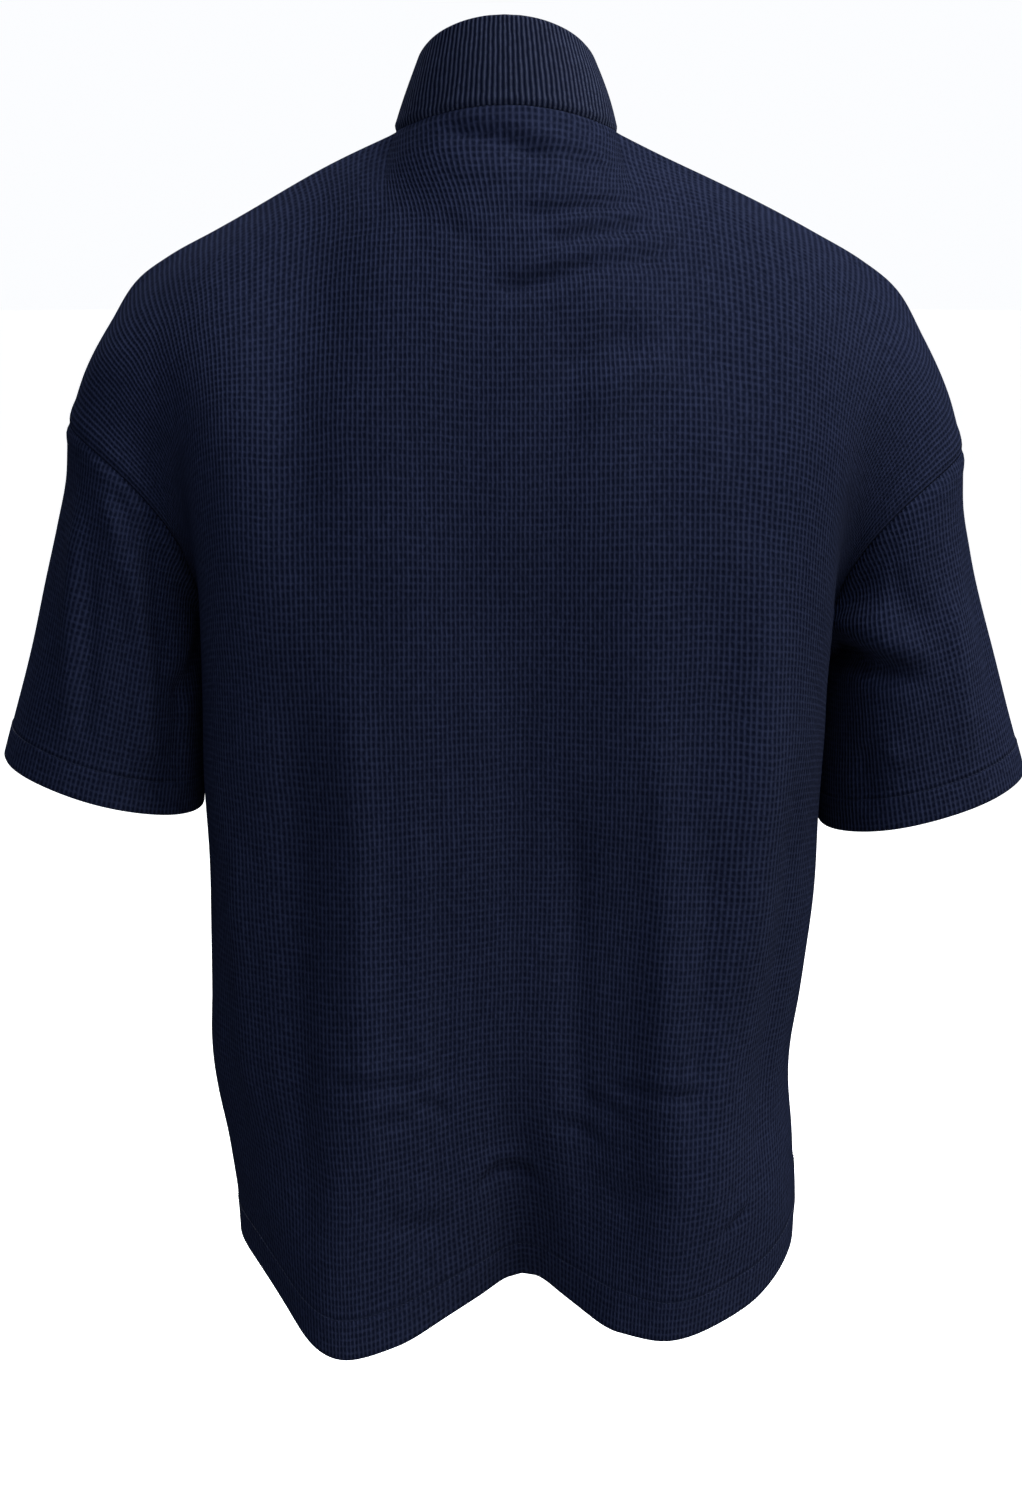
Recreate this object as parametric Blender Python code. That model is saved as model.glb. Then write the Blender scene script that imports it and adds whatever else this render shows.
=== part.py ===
"""A quarter-zip shirt as it is worn: short drop-shoulder sleeves, stand collar, curved hem.

The cloth is modelled as hollow walls round a general upright figure, and nothing fills it.
Axes: +Z up, -Y the way the wearer faces, +X the wearer's left. Metres. The origin is midway
between the two points where the shoulder seams meet the collar.

Each panel is a grid in the cloth's own directions: u runs across, from 0 at the centre line to
1 at the side seam and armhole, and v runs up a rib of the knit, from 0 at the hem to 1 at the
neck or the shoulder seam. Tables below hold the worn shape in millimetres.
"""

from collections import namedtuple

import bmesh
import bpy
import numpy as np

MM = 0.001

# ---------------------------------------------------------------- cut sizes, in millimetres
HALF_WIDTH = 340          # half of the back panel, centre to side seam, laid flat
BACK_LENGTH = 745         # centre back, hem to neck seam, laid flat
HEM_DEPTH = 26            # turned-up hem of the body
ZIP_BELOW_NECK = 140      # how far the zip opening runs down the front from the neck seam
ZIP_HALF_GAP = 5          # from the centre line to each folded edge of the zip opening

# ---------------------------------------------------------------- thicknesses, in millimetres
CLOTH = 1.6               # one layer of waffle knit
HEM_CLOTH = 2.6           # cloth turned up on itself and stitched
COLLAR_CLOTH = 3.0        # collar, folded double along its top edge
SEAM_INSET = 0.2          # each piece stops this far from the seam line it shares
TAPE = 0.8                # zip tape
CLEARANCE = 0.4           # between the zip's pieces and what they lie against

# ---------------------------------------------------------------- the zip, in millimetres
TAPE_INNER = 1.0          # from the centre line to each tape's inner edge
TAPE_REACH = 0.75         # how far each tape reaches under the cloth towards its next rib
SLIDER_BELOW_RIM = 11.5   # from the collar's top edge to the middle of the slider
SLIDER_PLATE = 1.2
SLIDER_TOP, SLIDER_BOTTOM, SLIDER_LENGTH = 4.3, 3.4, 10.0     # half widths, and length
HINGE_RISE = 2.6          # from the slider's underside to the pull tab's axis
HINGE_UP = 2.0            # from the slider's middle up to that axis
SLIDER_POST = (0.6, 0.5, 4.0)   # half width, bottom and top of the post between the tapes
SLIDER_CORNER = 1.2
LUG_HALF_WIDTH = 0.8
LUG_BAR = 1.0
LUG_HOLE = 2.8
TAB_LENGTH, TAB_HALF_WIDTH, TAB_THICKNESS = 24.0, 3.1, 1.2
TAB_WINDOW = (1.35, 4.6)  # half width, and how far below the axis it ends
TAB_CORNER = 0.5
TAB_TAPER = 0.5           # how much narrower each side of the tab is at the axis
STOP_WIDTH, STOP_HEIGHT, STOP_THICKNESS = 2.2, 2.2, 1.2
STOP_CORNER = 0.5
TOP_STOP_AT = (2.5, 8.5)  # from the slider's middle, sideways and up
BOTTOM_STOP_HALF_WIDTH = 3.3
BOTTOM_STOP_UP = 4.0      # from the opening's lower end

# ---------------------------------------------------------------- where the seams lie
NECK_U = 0.27             # share of the half width that the neck takes
UNDERARM_V = 0.58         # where the side seam ends and the armhole starts
NECK_SIDE = 71            # half width of the neck seam
NECK_BACK = (65, 15)      # y, z of the neck seam at the centre back
NECK_FRONT = (-85, -52)   # y, z of the neck seam at the centre front
RIM_SIDE = (56.5, 36)     # x, z of the collar's top edge at the side
RIM_BACK = (60, 69)       # y, z of the collar's top edge at the centre back
RIM_FRONT = (-72, 8)      # y, z of the collar's top edge at the centre front
SHOULDER_TIP = (295, -202)     # x, z of the top of the armhole
UNDERARM = (203.5, -338)       # x, z of the bottom of the armhole
ARMHOLE_BACK = 72         # how far the armhole bulges back round the arm
ARMHOLE_FRONT = 70
ARMHOLE_SCOOP = 23.5      # how far the armhole curve is cut in towards the body

# Shoulder line from the neck to the shoulder tip, seen from behind.
Shoulder = namedtuple("Shoulder", "x z")
SHOULDER = [
    Shoulder(NECK_SIDE, 0), Shoulder(134, -30), Shoulder(196, -63), Shoulder(226, -80.5),
    Shoulder(247, -97), Shoulder(266, -129), Shoulder(284.5, -167), Shoulder(*SHOULDER_TIP),
]

# Side seam below the underarm: it hangs plumb, and arches outwards just under the armhole.
SideSeam = namedtuple("SideSeam", "v x y z")
SIDE_SEAM = [
    SideSeam(0.000, 196, 0, -727), SideSeam(0.060, 196, 0, -682), SideSeam(0.150, 196, -1, -626),
    SideSeam(0.280, 199, -2, -543), SideSeam(0.420, 200, -2, -447), SideSeam(0.545, 198.5, -1, -361),
    SideSeam(0.567, 199.8, 0, -345), SideSeam(0.580, 203.5, 0, -338),
]

# Ribs that carry the shape, and the share of the half width at which each one lies.
RIB_U = {"centre": 0.0, "neck": NECK_U, "blade": 0.40, "outer": 0.60, "crest": 0.79, "valley": 0.90}

# One row for each section of the back, from the hem up: x, y, z on each of those ribs.
Section = namedtuple("Section", "v centre neck blade outer crest valley")
BACK_SECTIONS = [
    Section(0.00, (0, 101, -754), (73, 152, -771), (106, 161, -775),
            (152, 127, -764), (188, 62, -745), (194, 30, -735)),
    Section(0.06, (0, 113, -708), (74, 148, -723), (108, 156, -728),
            (156, 121, -717), (190, 59, -700), (195, 29, -691)),
    Section(0.15, (0, 122, -640), (75, 142, -651), (110, 148, -655),
            (162, 111, -649), (193, 56, -640), (196, 27, -633)),
    Section(0.28, (0, 122, -537), (77, 133, -543), (115, 132, -546),
            (172, 100, -548), (199, 53, -548), (199, 25, -546)),
    Section(0.42, (0, 122, -430), (79, 130, -434), (118, 124, -437),
            (178, 98, -441), (202.5, 56, -446), (200.5, 27, -447)),
    Section(0.50, (0, 124, -369), (80, 130, -371), (120, 124, -372),
            (180, 102, -378), (203, 61, -388), (202.5, 30, -396)),
    Section(0.58, (0, 126, -308), (80, 130, -308), (121, 124, -308),
            (182, 105, -316), (203, 67, -336), (203, 34, -352)),
    Section(0.66, (0, 126, -244), (80, 128, -242), (121, 122, -243),
            (184, 108, -255), (205, 75, -284), (205, 51, -302)),
    Section(0.765, (0, 118, -163), (80, 116, -160), (121, 108, -162),
            (187, 100, -177), (215, 82, -210), (224, 72, -232)),
    Section(0.86, (0, 102, -90), (79, 92, -88), (120, 76, -93),
            (192, 76, -118), (237, 68, -161), (252, 66, -191)),
    Section(0.94, (0, 83, -31), (77, 50, -35), (119, 36, -45),
            (197, 40, -82), (256, 37, -135), (274, 38, -169)),
]

# The same for the front.
FRONT_SECTIONS = [
    Section(0.00, (0, -146, -746), (74, -152, -752), (110, -148, -754),
            (158, -112, -748), (191, -60, -737), (196, -30, -730)),
    Section(0.06, (0, -143, -703), (75, -150, -707), (111, -146, -709),
            (162, -111, -704), (192, -59, -695), (196, -29, -689)),
    Section(0.15, (0, -140, -640), (76, -147, -640), (113, -142, -640),
            (168, -108, -640), (194, -58, -637), (197, -28, -632)),
    Section(0.28, (0, -141, -548), (78, -144, -542), (116, -137, -539),
            (175, -104, -543), (199, -56, -547), (200, -27, -546)),
    Section(0.42, (0, -144, -450), (79, -144, -434), (118, -136, -428),
            (180, -105, -436), (202, -58, -445), (202, -29, -447)),
    Section(0.50, (0, -144, -394), (80, -144, -372), (120, -136, -364),
            (182, -107, -373), (203, -62, -387), (202.5, -31, -396)),
    Section(0.58, (0, -143, -338), (80, -142, -310), (121, -134, -300),
            (184, -109, -311), (203, -67, -335), (203, -34, -352)),
    Section(0.66, (0, -139, -283), (80, -136, -247), (121, -128, -235),
            (186, -109, -251), (205, -74, -283), (205, -50, -302)),
    Section(0.765, (0, -128, -210), (80, -120, -165), (121, -108, -151),
            (189, -99, -174), (215, -80, -210), (224, -70, -232)),
    Section(0.86, (0, -112, -146), (79, -93, -96), (120, -74, -86),
            (193, -74, -115), (237, -66, -161), (252, -64, -191)),
    Section(0.94, (0, -98, -92), (76, -52, -43), (119, -37, -41),
            (198, -39, -80), (256, -36, -135), (274, -37, -169)),
]

# Sleeve rings from the armhole to the cuff: the x, z of the outer and the inner side,
# and how far the ring reaches back and front.
Ring = namedtuple("Ring", "t outer_x outer_z inner_x inner_z back front")
SLEEVE_RINGS = [
    Ring(0.00, 295.0, -202, 203.5, -338, 72, 70), Ring(0.08, 295.4, -219, 209.5, -345, 74, 72),
    Ring(0.16, 296.5, -237, 210.5, -354, 75, 72), Ring(0.30, 303.5, -269, 210.5, -373, 75, 72),
    Ring(0.52, 316.0, -316, 210.5, -401, 74, 71), Ring(0.76, 330.5, -367, 211.0, -430, 72, 70),
    Ring(1.00, 346.5, -421, 213.0, -459, 73, 68),
]

# How the worn shirt departs from a mirror image, by height z: sideways shifts at the centre
# line, 100 mm out from it and at the sides, and how far the left arm's side is lifted.
Hang = namedtuple("Hang", "z centre middle side lift")
HANG = [
    Hang(-790, -8, 5, -4, 0), Hang(-740, -7, 4.5, -4, 0), Hang(-709, -5, 4, -3.5, 0),
    Hang(-672, -2, 3, 0, 0), Hang(-636, 1, 4, 4.5, 0), Hang(-600, 2, 4, 6, 0), Hang(-565, 2, 3, 4, 2),
    Hang(-530, 1, 2, 2, 5), Hang(-461, 0, 0, -0.5, 11), Hang(-345, 0, 0, -3, 14),
    Hang(-250, 0, 0, -2.5, 18), Hang(-170, 0, 0, -4, 15), Hang(-100, 0, 0, -3.5, 5), Hang(-50, 1, 0, -1, 0),
    Hang(-12, 3, 4, 3, 0), Hang(0, 3, 3, 3, 0), Hang(70, 4, 4, 3, 0),
]

# Where the back hem hangs lower or higher than its mirror image: u, half width in u, drop.
Lobe = namedtuple("Lobe", "u width drop")
BACK_LOBES = [Lobe(0.36, 0.20, 7), Lobe(0.68, 0.14, -10), Lobe(-0.40, 0.20, -6)]
LOBE_REACH = 0.5          # the v at which the lobes have faded away
FOLD_FADE = (0.25, 0.35)  # shares of a fold's length over which it fades in and out
SEAM_HOLD = (0.08, 0.06)  # in u and in v, how near to a seam the folds fade out
TOP_BLEND = 0.10          # in v, how far below the top edge the ribs turn into its line

# Largest folds. u is positive on the wearer's left. Each runs from start to end in (u, v),
# bowed sideways at its middle, all in millimetres of flat cloth; depth is positive for a ridge.
Fold = namedtuple("Fold", "start end bow width depth")
BACK_FOLDS = [
    Fold((-0.01, -0.15), (0.00, 0.24), 0, 24, -9),       # the valley between the hem's lobes
    Fold((-0.25, -0.05), (-0.17, 0.50), 0, 42, -9),      # long trough right of the centre
    Fold((-0.50, 0.02), (-0.46, 0.62), 0, 34, 6),        # ridge beside it
    Fold((0.22, 0.10), (0.16, 0.52), 0, 40, 5),          # ridge left of the centre
    Fold((0.62, 0.06), (0.50, 0.50), 6, 34, -6),         # trough on the left
    Fold((-0.30, 0.815), (-0.07, 0.775), -6, 13, -4),    # slanting folds between the shoulders
    Fold((-0.36, 0.790), (-0.12, 0.745), -6, 14, 3.5),
]
FRONT_FOLDS = [
    Fold((0.30, -0.05), (0.36, 0.52), 0, 40, -8),
    Fold((-0.33, -0.05), (-0.30, 0.46), 0, 38, -7),
    Fold((0.02, -0.05), (0.02, 0.40), 0, 46, 6),
    Fold((0.62, 0.00), (0.60, 0.46), 0, 32, 5),
    Fold((-0.64, 0.00), (-0.58, 0.50), 0, 32, 5),
    Fold((0.62, 0.86), (0.46, 0.66), 8, 20, -5),         # from each shoulder towards the chest
    Fold((-0.62, 0.86), (-0.46, 0.66), -8, 20, -5),
]

# ---------------------------------------------------------------- how finely the cloth is cut up
NECK_CELLS = 6            # columns from the centre to the neck's side, and round a half collar
SHOULDER_CELLS = 15       # columns from there to the side seam
BODY_CELLS = 15           # rows from the hem's stitching to the underarm
ARMHOLE_CELLS = 12        # rows from the underarm to the shoulder tip
COLLAR_CELLS = 4
STEP = 0.002              # half the share over which a hem's second layer starts
CUFF_T = 0.89             # where the cuff's hem starts
SLEEVE_T = (0, 0.08, 0.16, 0.26, 0.38, 0.50, 0.62, 0.74, 0.84, CUFF_T - STEP, CUFF_T + STEP, 1)
UNDERARM_ROWS = (0.545, 0.567)     # the two rows just below the underarm


# ---------------------------------------------------------------- curves
def smooth(knots, values, at):
    """A curve through values at knots, with slopes taken from the neighbours on either side."""
    knots = np.asarray(knots, float)
    values = np.asarray(values, float)
    slopes = np.gradient(values, knots, axis=0)
    at = np.clip(np.asarray(at, float), knots[0], knots[-1])
    i = np.clip(np.searchsorted(knots, at, side="right") - 1, 0, len(knots) - 2)
    gap = knots[i + 1] - knots[i]
    t = (at - knots[i]) / gap
    extra = (...,) + (None,) * (values.ndim - 1)
    t, gap = t[extra], gap[extra]
    return (
        (2 * t**3 - 3 * t**2 + 1) * values[i]
        + (t**3 - 2 * t**2 + t) * gap * slopes[i]
        + (3 * t**2 - 2 * t**3) * values[i + 1]
        + (t**3 - t**2) * gap * slopes[i + 1]
    )


def ease(x):
    """0 up to 0, 1 from 1 on, and smooth between."""
    x = np.clip(x, 0, 1)
    return x * x * (3 - 2 * x)


def unit(vectors):
    """The same vectors at length 1."""
    return vectors / np.maximum(np.linalg.norm(vectors, axis=-1, keepdims=True), 1e-9)


def neck_seam(turn):
    """Points of the neck seam. turn is 0 at the centre back, 0.5 at the side, 1 at the centre front."""
    angle = np.pi * np.asarray(turn, float)
    y, z = np.where(angle[:, None] < np.pi / 2, NECK_BACK, NECK_FRONT).T
    cosine = np.abs(np.cos(angle))
    return np.stack([NECK_SIDE * np.sin(angle), y * cosine, z * cosine**2], axis=1)


def collar_rim(turn):
    """Points of the collar's top edge, turned as neck_seam turns."""
    angle = np.pi * np.asarray(turn, float)
    y, z = np.where(angle[:, None] < np.pi / 2, RIM_BACK, RIM_FRONT).T
    cosine = np.abs(np.cos(angle))
    side_x, side_z = RIM_SIDE
    return np.stack([side_x * np.sin(angle), y * cosine, side_z + (z - side_z) * cosine], axis=1)


def shoulder_line(share):
    """Points of the shoulder seam, at shares of its length from the neck to the tip."""
    line = np.array(SHOULDER, float)
    along = np.concatenate([[0], np.cumsum(np.linalg.norm(np.diff(line, axis=0), axis=1))])
    x, z = smooth(along / along[-1], line, share).T
    return np.stack([x, np.zeros_like(x), z], axis=1)


def spread(line, share):
    """Points at even distances along a line of points, at shares of its length."""
    along = np.concatenate([[0], np.cumsum(np.linalg.norm(np.diff(line, axis=0), axis=1))])
    return np.stack([np.interp(share, along / along[-1], line[:, k]) for k in range(3)], axis=1)


def armhole(share, bulge):
    """Points of half the armhole seam, from the underarm at 0 to the shoulder tip at 1.

    The seam is round over the arm and comes to a point under it.
    """
    tip, under = np.array(SHOULDER_TIP, float), np.array(UNDERARM, float)
    reach = tip - under
    inwards = np.array([-reach[1], reach[0]]) / np.linalg.norm(reach)
    rise = (1 - np.cos(np.linspace(0, np.pi, 97))) / 2
    x, z = (under + rise[:, None] * reach + ARMHOLE_SCOOP * 4 * (rise * (1 - rise))[:, None] * inwards).T
    swell = rise * np.sqrt(1 - rise)
    return spread(np.stack([x, bulge * swell / swell.max(), z], axis=1), share)


def panel_edge(v, bulge):
    """Points of a panel's side edge: the side seam, then the armhole."""
    seam = np.array(SIDE_SEAM, float)
    low = smooth(seam[:, 0], seam[:, 1:], v)
    high = armhole(np.clip((v - UNDERARM_V) / (1 - UNDERARM_V), 0, 1), bulge)
    return np.where((v < UNDERARM_V)[:, None], low, high)


def panel_top(u, front):
    """Points of a panel's top edge: half the neck seam, then the shoulder seam."""
    turn = np.clip(u / NECK_U, 0, 1) / 2
    neck = neck_seam(1 - turn if front else turn)
    shoulder = shoulder_line(np.clip((u - NECK_U) / (1 - NECK_U), 0, 1))
    return np.where((u < NECK_U)[:, None], neck, shoulder)


# ---------------------------------------------------------------- folds
def fold_height(folds, across, up):
    """Height of the folds over points given in millimetres of flat cloth."""
    height = np.zeros_like(across)
    for fold in folds:
        start = np.array([fold.start[0] * HALF_WIDTH, fold.start[1] * BACK_LENGTH])
        end = np.array([fold.end[0] * HALF_WIDTH, fold.end[1] * BACK_LENGTH])
        length = np.linalg.norm(end - start)
        along_x, along_y = (end - start) / length
        dx, dy = across - start[0], up - start[1]
        along = (dx * along_x + dy * along_y) / length
        beside = dx * along_y - dy * along_x - fold.bow * np.sin(np.pi * np.clip(along, 0, 1))
        fade = ease(along / FOLD_FADE[0]) * ease((1 - along) / FOLD_FADE[1])
        height += fold.depth * np.exp(-((beside / fold.width) ** 2)) * fade
    return height


def grid_normals(grid):
    """Unit normals of a grid of points indexed [row, column]."""
    return unit(np.cross(np.gradient(grid, axis=1), np.gradient(grid, axis=0)))


# ---------------------------------------------------------------- the cloth's middle surface
def half_panel(sections, u, v, bulge, front):
    """Points [row, column] of the left half of a panel."""
    knots = [row.v for row in sections] + [1.0]
    tops = panel_top(np.array(list(RIB_U.values())), front)
    ribs = [
        smooth(knots, [getattr(row, rib) for row in sections] + [top], v)
        for rib, top in zip(RIB_U, tops)
    ]
    columns = np.stack([ribs[1] * (-1, 1, 1), *ribs, panel_edge(v, bulge)])
    places = [-NECK_U, *RIB_U.values(), 1.0]
    grid = smooth(places, columns, u).transpose(1, 0, 2)
    wanted, drawn = panel_top(u, front), smooth(places, columns[:, -1], u)
    return grid + ease((v - 1 + TOP_BLEND) / TOP_BLEND)[:, None, None] * (wanted - drawn)[None]


def panel(sections, folds, u, v, bulge, front):
    """Points [row, column] of a whole panel. u runs from -1 at the right to 1 at the left."""
    grid = half_panel(sections, np.abs(u), v, bulge, front)
    grid[:, u < 0, 0] *= -1
    for lobe in () if front else BACK_LOBES:
        near_hem = ease(1 - v / LOBE_REACH)[:, None] ** 3
        grid[..., 2] -= lobe.drop * np.exp(-(((u - lobe.u) / lobe.width) ** 2)) * near_hem
    outwards = grid_normals(grid) * (1 if front else -1)
    across, up = np.meshgrid(u * HALF_WIDTH, v * BACK_LENGTH)
    held = ease((1 - np.abs(u)) / SEAM_HOLD[0])[None] * ease((1 - v) / SEAM_HOLD[1])[:, None]
    return grid + outwards * (fold_height(folds, across, up) * held)[..., None]


def sleeve(side, back_edge, front_edge):
    """Points [row, column] of a sleeve. Columns go from the underarm up the back and down the front."""
    rings = np.array(SLEEVE_RINGS, float)
    shape = smooth(rings[:, 0], rings[:, 1:], SLEEVE_T).T[:, :, None]
    outer_x, outer_z, inner_x, inner_z, back, front = shape
    count = 2 * ARMHOLE_CELLS
    angle = np.pi - 2 * np.pi * np.arange(count)[None] / count
    along, over = np.cos(angle), np.sin(angle)
    x = (outer_x + inner_x) / 2 + (outer_x - inner_x) / 2 * along
    z = (outer_z + inner_z) / 2 + (outer_z - inner_z) / 2 * along
    y = np.where(over > 0, back, front) * over
    grid = np.stack([side * x, y, z], axis=2)
    seam = np.concatenate([back_edge, front_edge[-2:0:-1]])
    fade = (1 - np.array(SLEEVE_T))[:, None, None] ** 3
    return grid + fade * (seam - grid[0])[None]


def collar(base, turn, side):
    """Points [row, column] of the collar over its base points, from the neck seam to the rim."""
    rim = collar_rim(turn)
    rim[:, 0] *= side
    rim[[0, -1], 0] = base[[0, -1], 0]
    rise = np.linspace(0, 1, COLLAR_CELLS + 1)[:, None, None]
    return base[None] * (1 - rise) + rim[None] * rise


def hang(points):
    """The whole shirt's small shifts away from a mirror image."""
    table = np.array(HANG, float)
    centre, middle, side, lift = smooth(table[:, 0], table[:, 1:], points[:, 2]).T
    out = np.abs(points[:, 0])
    past_middle = ease((out - 100) / 80)
    shift = centre + (middle - centre) * ease(out / 100) + (side - middle) * past_middle
    raised = lift * ease((points[:, 0] - 140) / 80)
    return points + np.stack([shift, np.zeros_like(shift), raised], axis=1)


# ---------------------------------------------------------------- from surface to wall
class Surface:
    """The middle surface of one piece: points, four-sided faces and a thickness at each point."""

    def __init__(self, name, grid, thickness, closed=False, leave_out=()):
        rows, columns = grid.shape[:2]
        self.name = name
        self.points = hang(grid.reshape(-1, 3))
        self.thickness = np.broadcast_to(thickness, (rows, columns)).reshape(-1)
        last = columns if closed else columns - 1
        self.faces = np.array([
            (row * columns + column, row * columns + (column + 1) % columns,
             (row + 1) * columns + (column + 1) % columns, (row + 1) * columns + column)
            for row in range(rows - 1) for column in range(last) if (row, column) not in leave_out
        ])

    def turn_over(self):
        """Makes the faces look the other way."""
        self.faces = self.faces[:, ::-1]
        return self


def shared_normals(surfaces):
    """A normal for each point of each surface, the same for points that lie on one seam.

    Each face counts by its angle at the point, so that a sharp fold's normal halves the fold.
    """
    counts = [len(surface.points) for surface in surfaces]
    points = np.concatenate([surface.points for surface in surfaces])
    starts = np.concatenate([[0], np.cumsum(counts)[:-1]])
    faces = np.concatenate([surface.faces + start for surface, start in zip(surfaces, starts)])
    _, spot = np.unique(np.round(points, 4), axis=0, return_inverse=True)
    spot = spot.reshape(-1)
    total = np.zeros((spot.max() + 1, 3))
    a, b, c, d = (points[faces[:, k]] for k in range(4))
    facing = unit(np.cross(c - a, d - b))
    for k in range(4):
        here, after, before = (points[faces[:, (k + step) % 4]] for step in (0, 1, -1))
        cosine = (unit(after - here) * unit(before - here)).sum(axis=1)
        np.add.at(total, spot[faces[:, k]], facing * np.arccos(np.clip(cosine, -1, 1))[:, None])
    return np.split(unit(total)[spot], np.cumsum(counts)[:-1])


def edges_of(faces):
    """Directed edges that only one face uses: the surface's open edges."""
    directed = np.concatenate([faces[:, [k, (k + 1) % 4]] for k in range(4)])
    seen = {(a, b) for a, b in directed.tolist()}
    return [(a, b) for a, b in directed.tolist() if (b, a) not in seen]


def halves(corners, points):
    """Four-sided faces, given as columns of corners, each cut along its shorter diagonal."""
    a, b, c, d = corners
    across = np.linalg.norm(points[a] - points[c], axis=1) <= np.linalg.norm(points[b] - points[d], axis=1)
    first = np.where(across[:, None], np.stack([a, b, c], 1), np.stack([a, b, d], 1))
    second = np.where(across[:, None], np.stack([a, c, d], 1), np.stack([b, c, d], 1))
    return np.concatenate([first, second])


def wall(surface, normals):
    """Points and faces of the solid wall round a middle surface, a little short of each seam."""
    start, end = np.array(edges_of(surface.faces)).T
    along = unit(surface.points[end] - surface.points[start])
    pull = np.zeros_like(surface.points)
    for corner in (start, end):
        np.add.at(pull, corner, np.cross(normals[corner], along))
    pull = unit(pull) * SEAM_INSET
    offset = normals * surface.thickness[:, None] / 2
    outer, inner = surface.points + offset, surface.points - offset
    count = len(outer)
    skin = halves(surface.faces.T, surface.points)
    edge = halves((end, start, start + count, end + count), np.concatenate([outer, inner]))
    faces = np.concatenate([skin, skin[:, ::-1] + count, edge])
    return np.concatenate([outer + pull, inner + pull]) * MM, faces


# ---------------------------------------------------------------- objects and materials
def material(name, colour, roughness, metallic=0.0):
    made = bpy.data.materials.new(name)
    made.use_nodes = True
    shader = made.node_tree.nodes["Principled BSDF"]
    shader.inputs["Base Color"].default_value = (*colour, 1)
    shader.inputs["Roughness"].default_value = roughness
    shader.inputs["Metallic"].default_value = metallic
    return made


def add_object(name, points, faces, finish):
    mesh = bpy.data.meshes.new(name)
    mesh.from_pydata(points.tolist(), [], [list(face) for face in faces])
    mesh.materials.append(finish)
    made = bpy.data.objects.new(name, mesh)
    bpy.context.scene.collection.objects.link(made)
    clean = bmesh.new()
    clean.from_mesh(mesh)
    bmesh.ops.delete(clean, geom=[v for v in clean.verts if not v.link_faces], context="VERTS")
    clean.to_mesh(mesh)
    clean.free()
    mesh.shade_smooth()
    return made


# ---------------------------------------------------------------- the zip
def tape_grid(side, edge, beside, cover):
    """Points of one zip tape: under the cloth's folded edge, moved in by the cover at each row."""
    inner = edge.copy()
    inner[:, 0] = side * TAPE_INNER
    grid = np.stack([inner, edge, edge + TAPE_REACH * (beside - edge)], axis=1)
    depth = (cover / 2 + CLEARANCE + TAPE / 2)[:, None, None]
    return grid - side * grid_normals(grid) * depth


class Seat:
    """A place on the zip's centre line, under the cover's inner face, with its up and out."""

    def __init__(self, point, below, above, cover):
        up = above - below
        self.tilt = -np.arctan2(up[1], up[2])
        self.out = np.array([0, -np.cos(self.tilt), -np.sin(self.tilt)])
        self.up = np.array([0, -np.sin(self.tilt), np.cos(self.tilt)])
        self.point = hang(point[None])[0] - self.out * cover / 2

    def at(self, across, out, up):
        """A point in metres, from millimetres in the seat's own directions."""
        return (self.point + self.out * out + self.up * up + np.array([across, 0, 0])) * MM


def prism(outline, low, high, axis):
    """Points and faces of an outline of pairs raised along an axis: 0 is X, 1 is Y and 2 is Z."""
    flat = np.array(outline, float)
    count = len(flat)
    points = np.stack([np.insert(flat, axis, level, axis=1) for level in (low, high)]).reshape(-1, 3)
    ring = np.arange(count)
    sides = np.stack([ring, np.roll(ring, -1), np.roll(ring, -1) + count, ring + count], axis=1)
    return points * MM, [ring[::-1].tolist(), (ring + count).tolist(), *sides.tolist()]


def box_outline(left, right, bottom, top):
    return [(left, bottom), (right, bottom), (right, top), (left, top)]


def rounded(outline, radius, steps=4):
    """An outline with each corner rounded to a radius."""
    corners = np.array(outline, float)
    made = []
    for k, corner in enumerate(corners):
        back, ahead = unit(corners[k - 1] - corner), unit(corners[(k + 1) % len(corners)] - corner)
        half = np.arccos(np.clip(back @ ahead, -1, 1)) / 2
        centre = corner + unit(back + ahead) * radius / np.sin(half)
        start, end = corner + back * radius / np.tan(half), corner + ahead * radius / np.tan(half)
        for share in np.linspace(0, 1, steps):
            made.append(centre + unit(start * (1 - share) + end * share - centre) * radius)
    return np.array(made)


def add_prism(name, seat, finish, outline, low, high, axis, origin=(0, 0, 0)):
    """A prism seated on the zip, in the seat's directions: X across, -Y out and Z up."""
    made = add_object(name, *prism(outline, low, high, axis), finish)
    made.location = seat.at(*origin)
    made.rotation_euler = (seat.tilt, 0, 0)
    recalculate(made)
    return made


def recalculate(made):
    """Points every face of a closed mesh outwards."""
    mesh = bmesh.new()
    mesh.from_mesh(made.data)
    bmesh.ops.recalc_face_normals(mesh, faces=mesh.faces)
    mesh.to_mesh(made.data)
    mesh.free()
    made.data.shade_flat()


def combine(made, other, operation):
    """Joins another object's shape to this one, or cuts it away."""
    change = made.modifiers.new(other.name, "BOOLEAN")
    change.operation = operation
    change.object = other
    change.solver = "EXACT"
    other.hide_render = True
    other.hide_viewport = True


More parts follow.
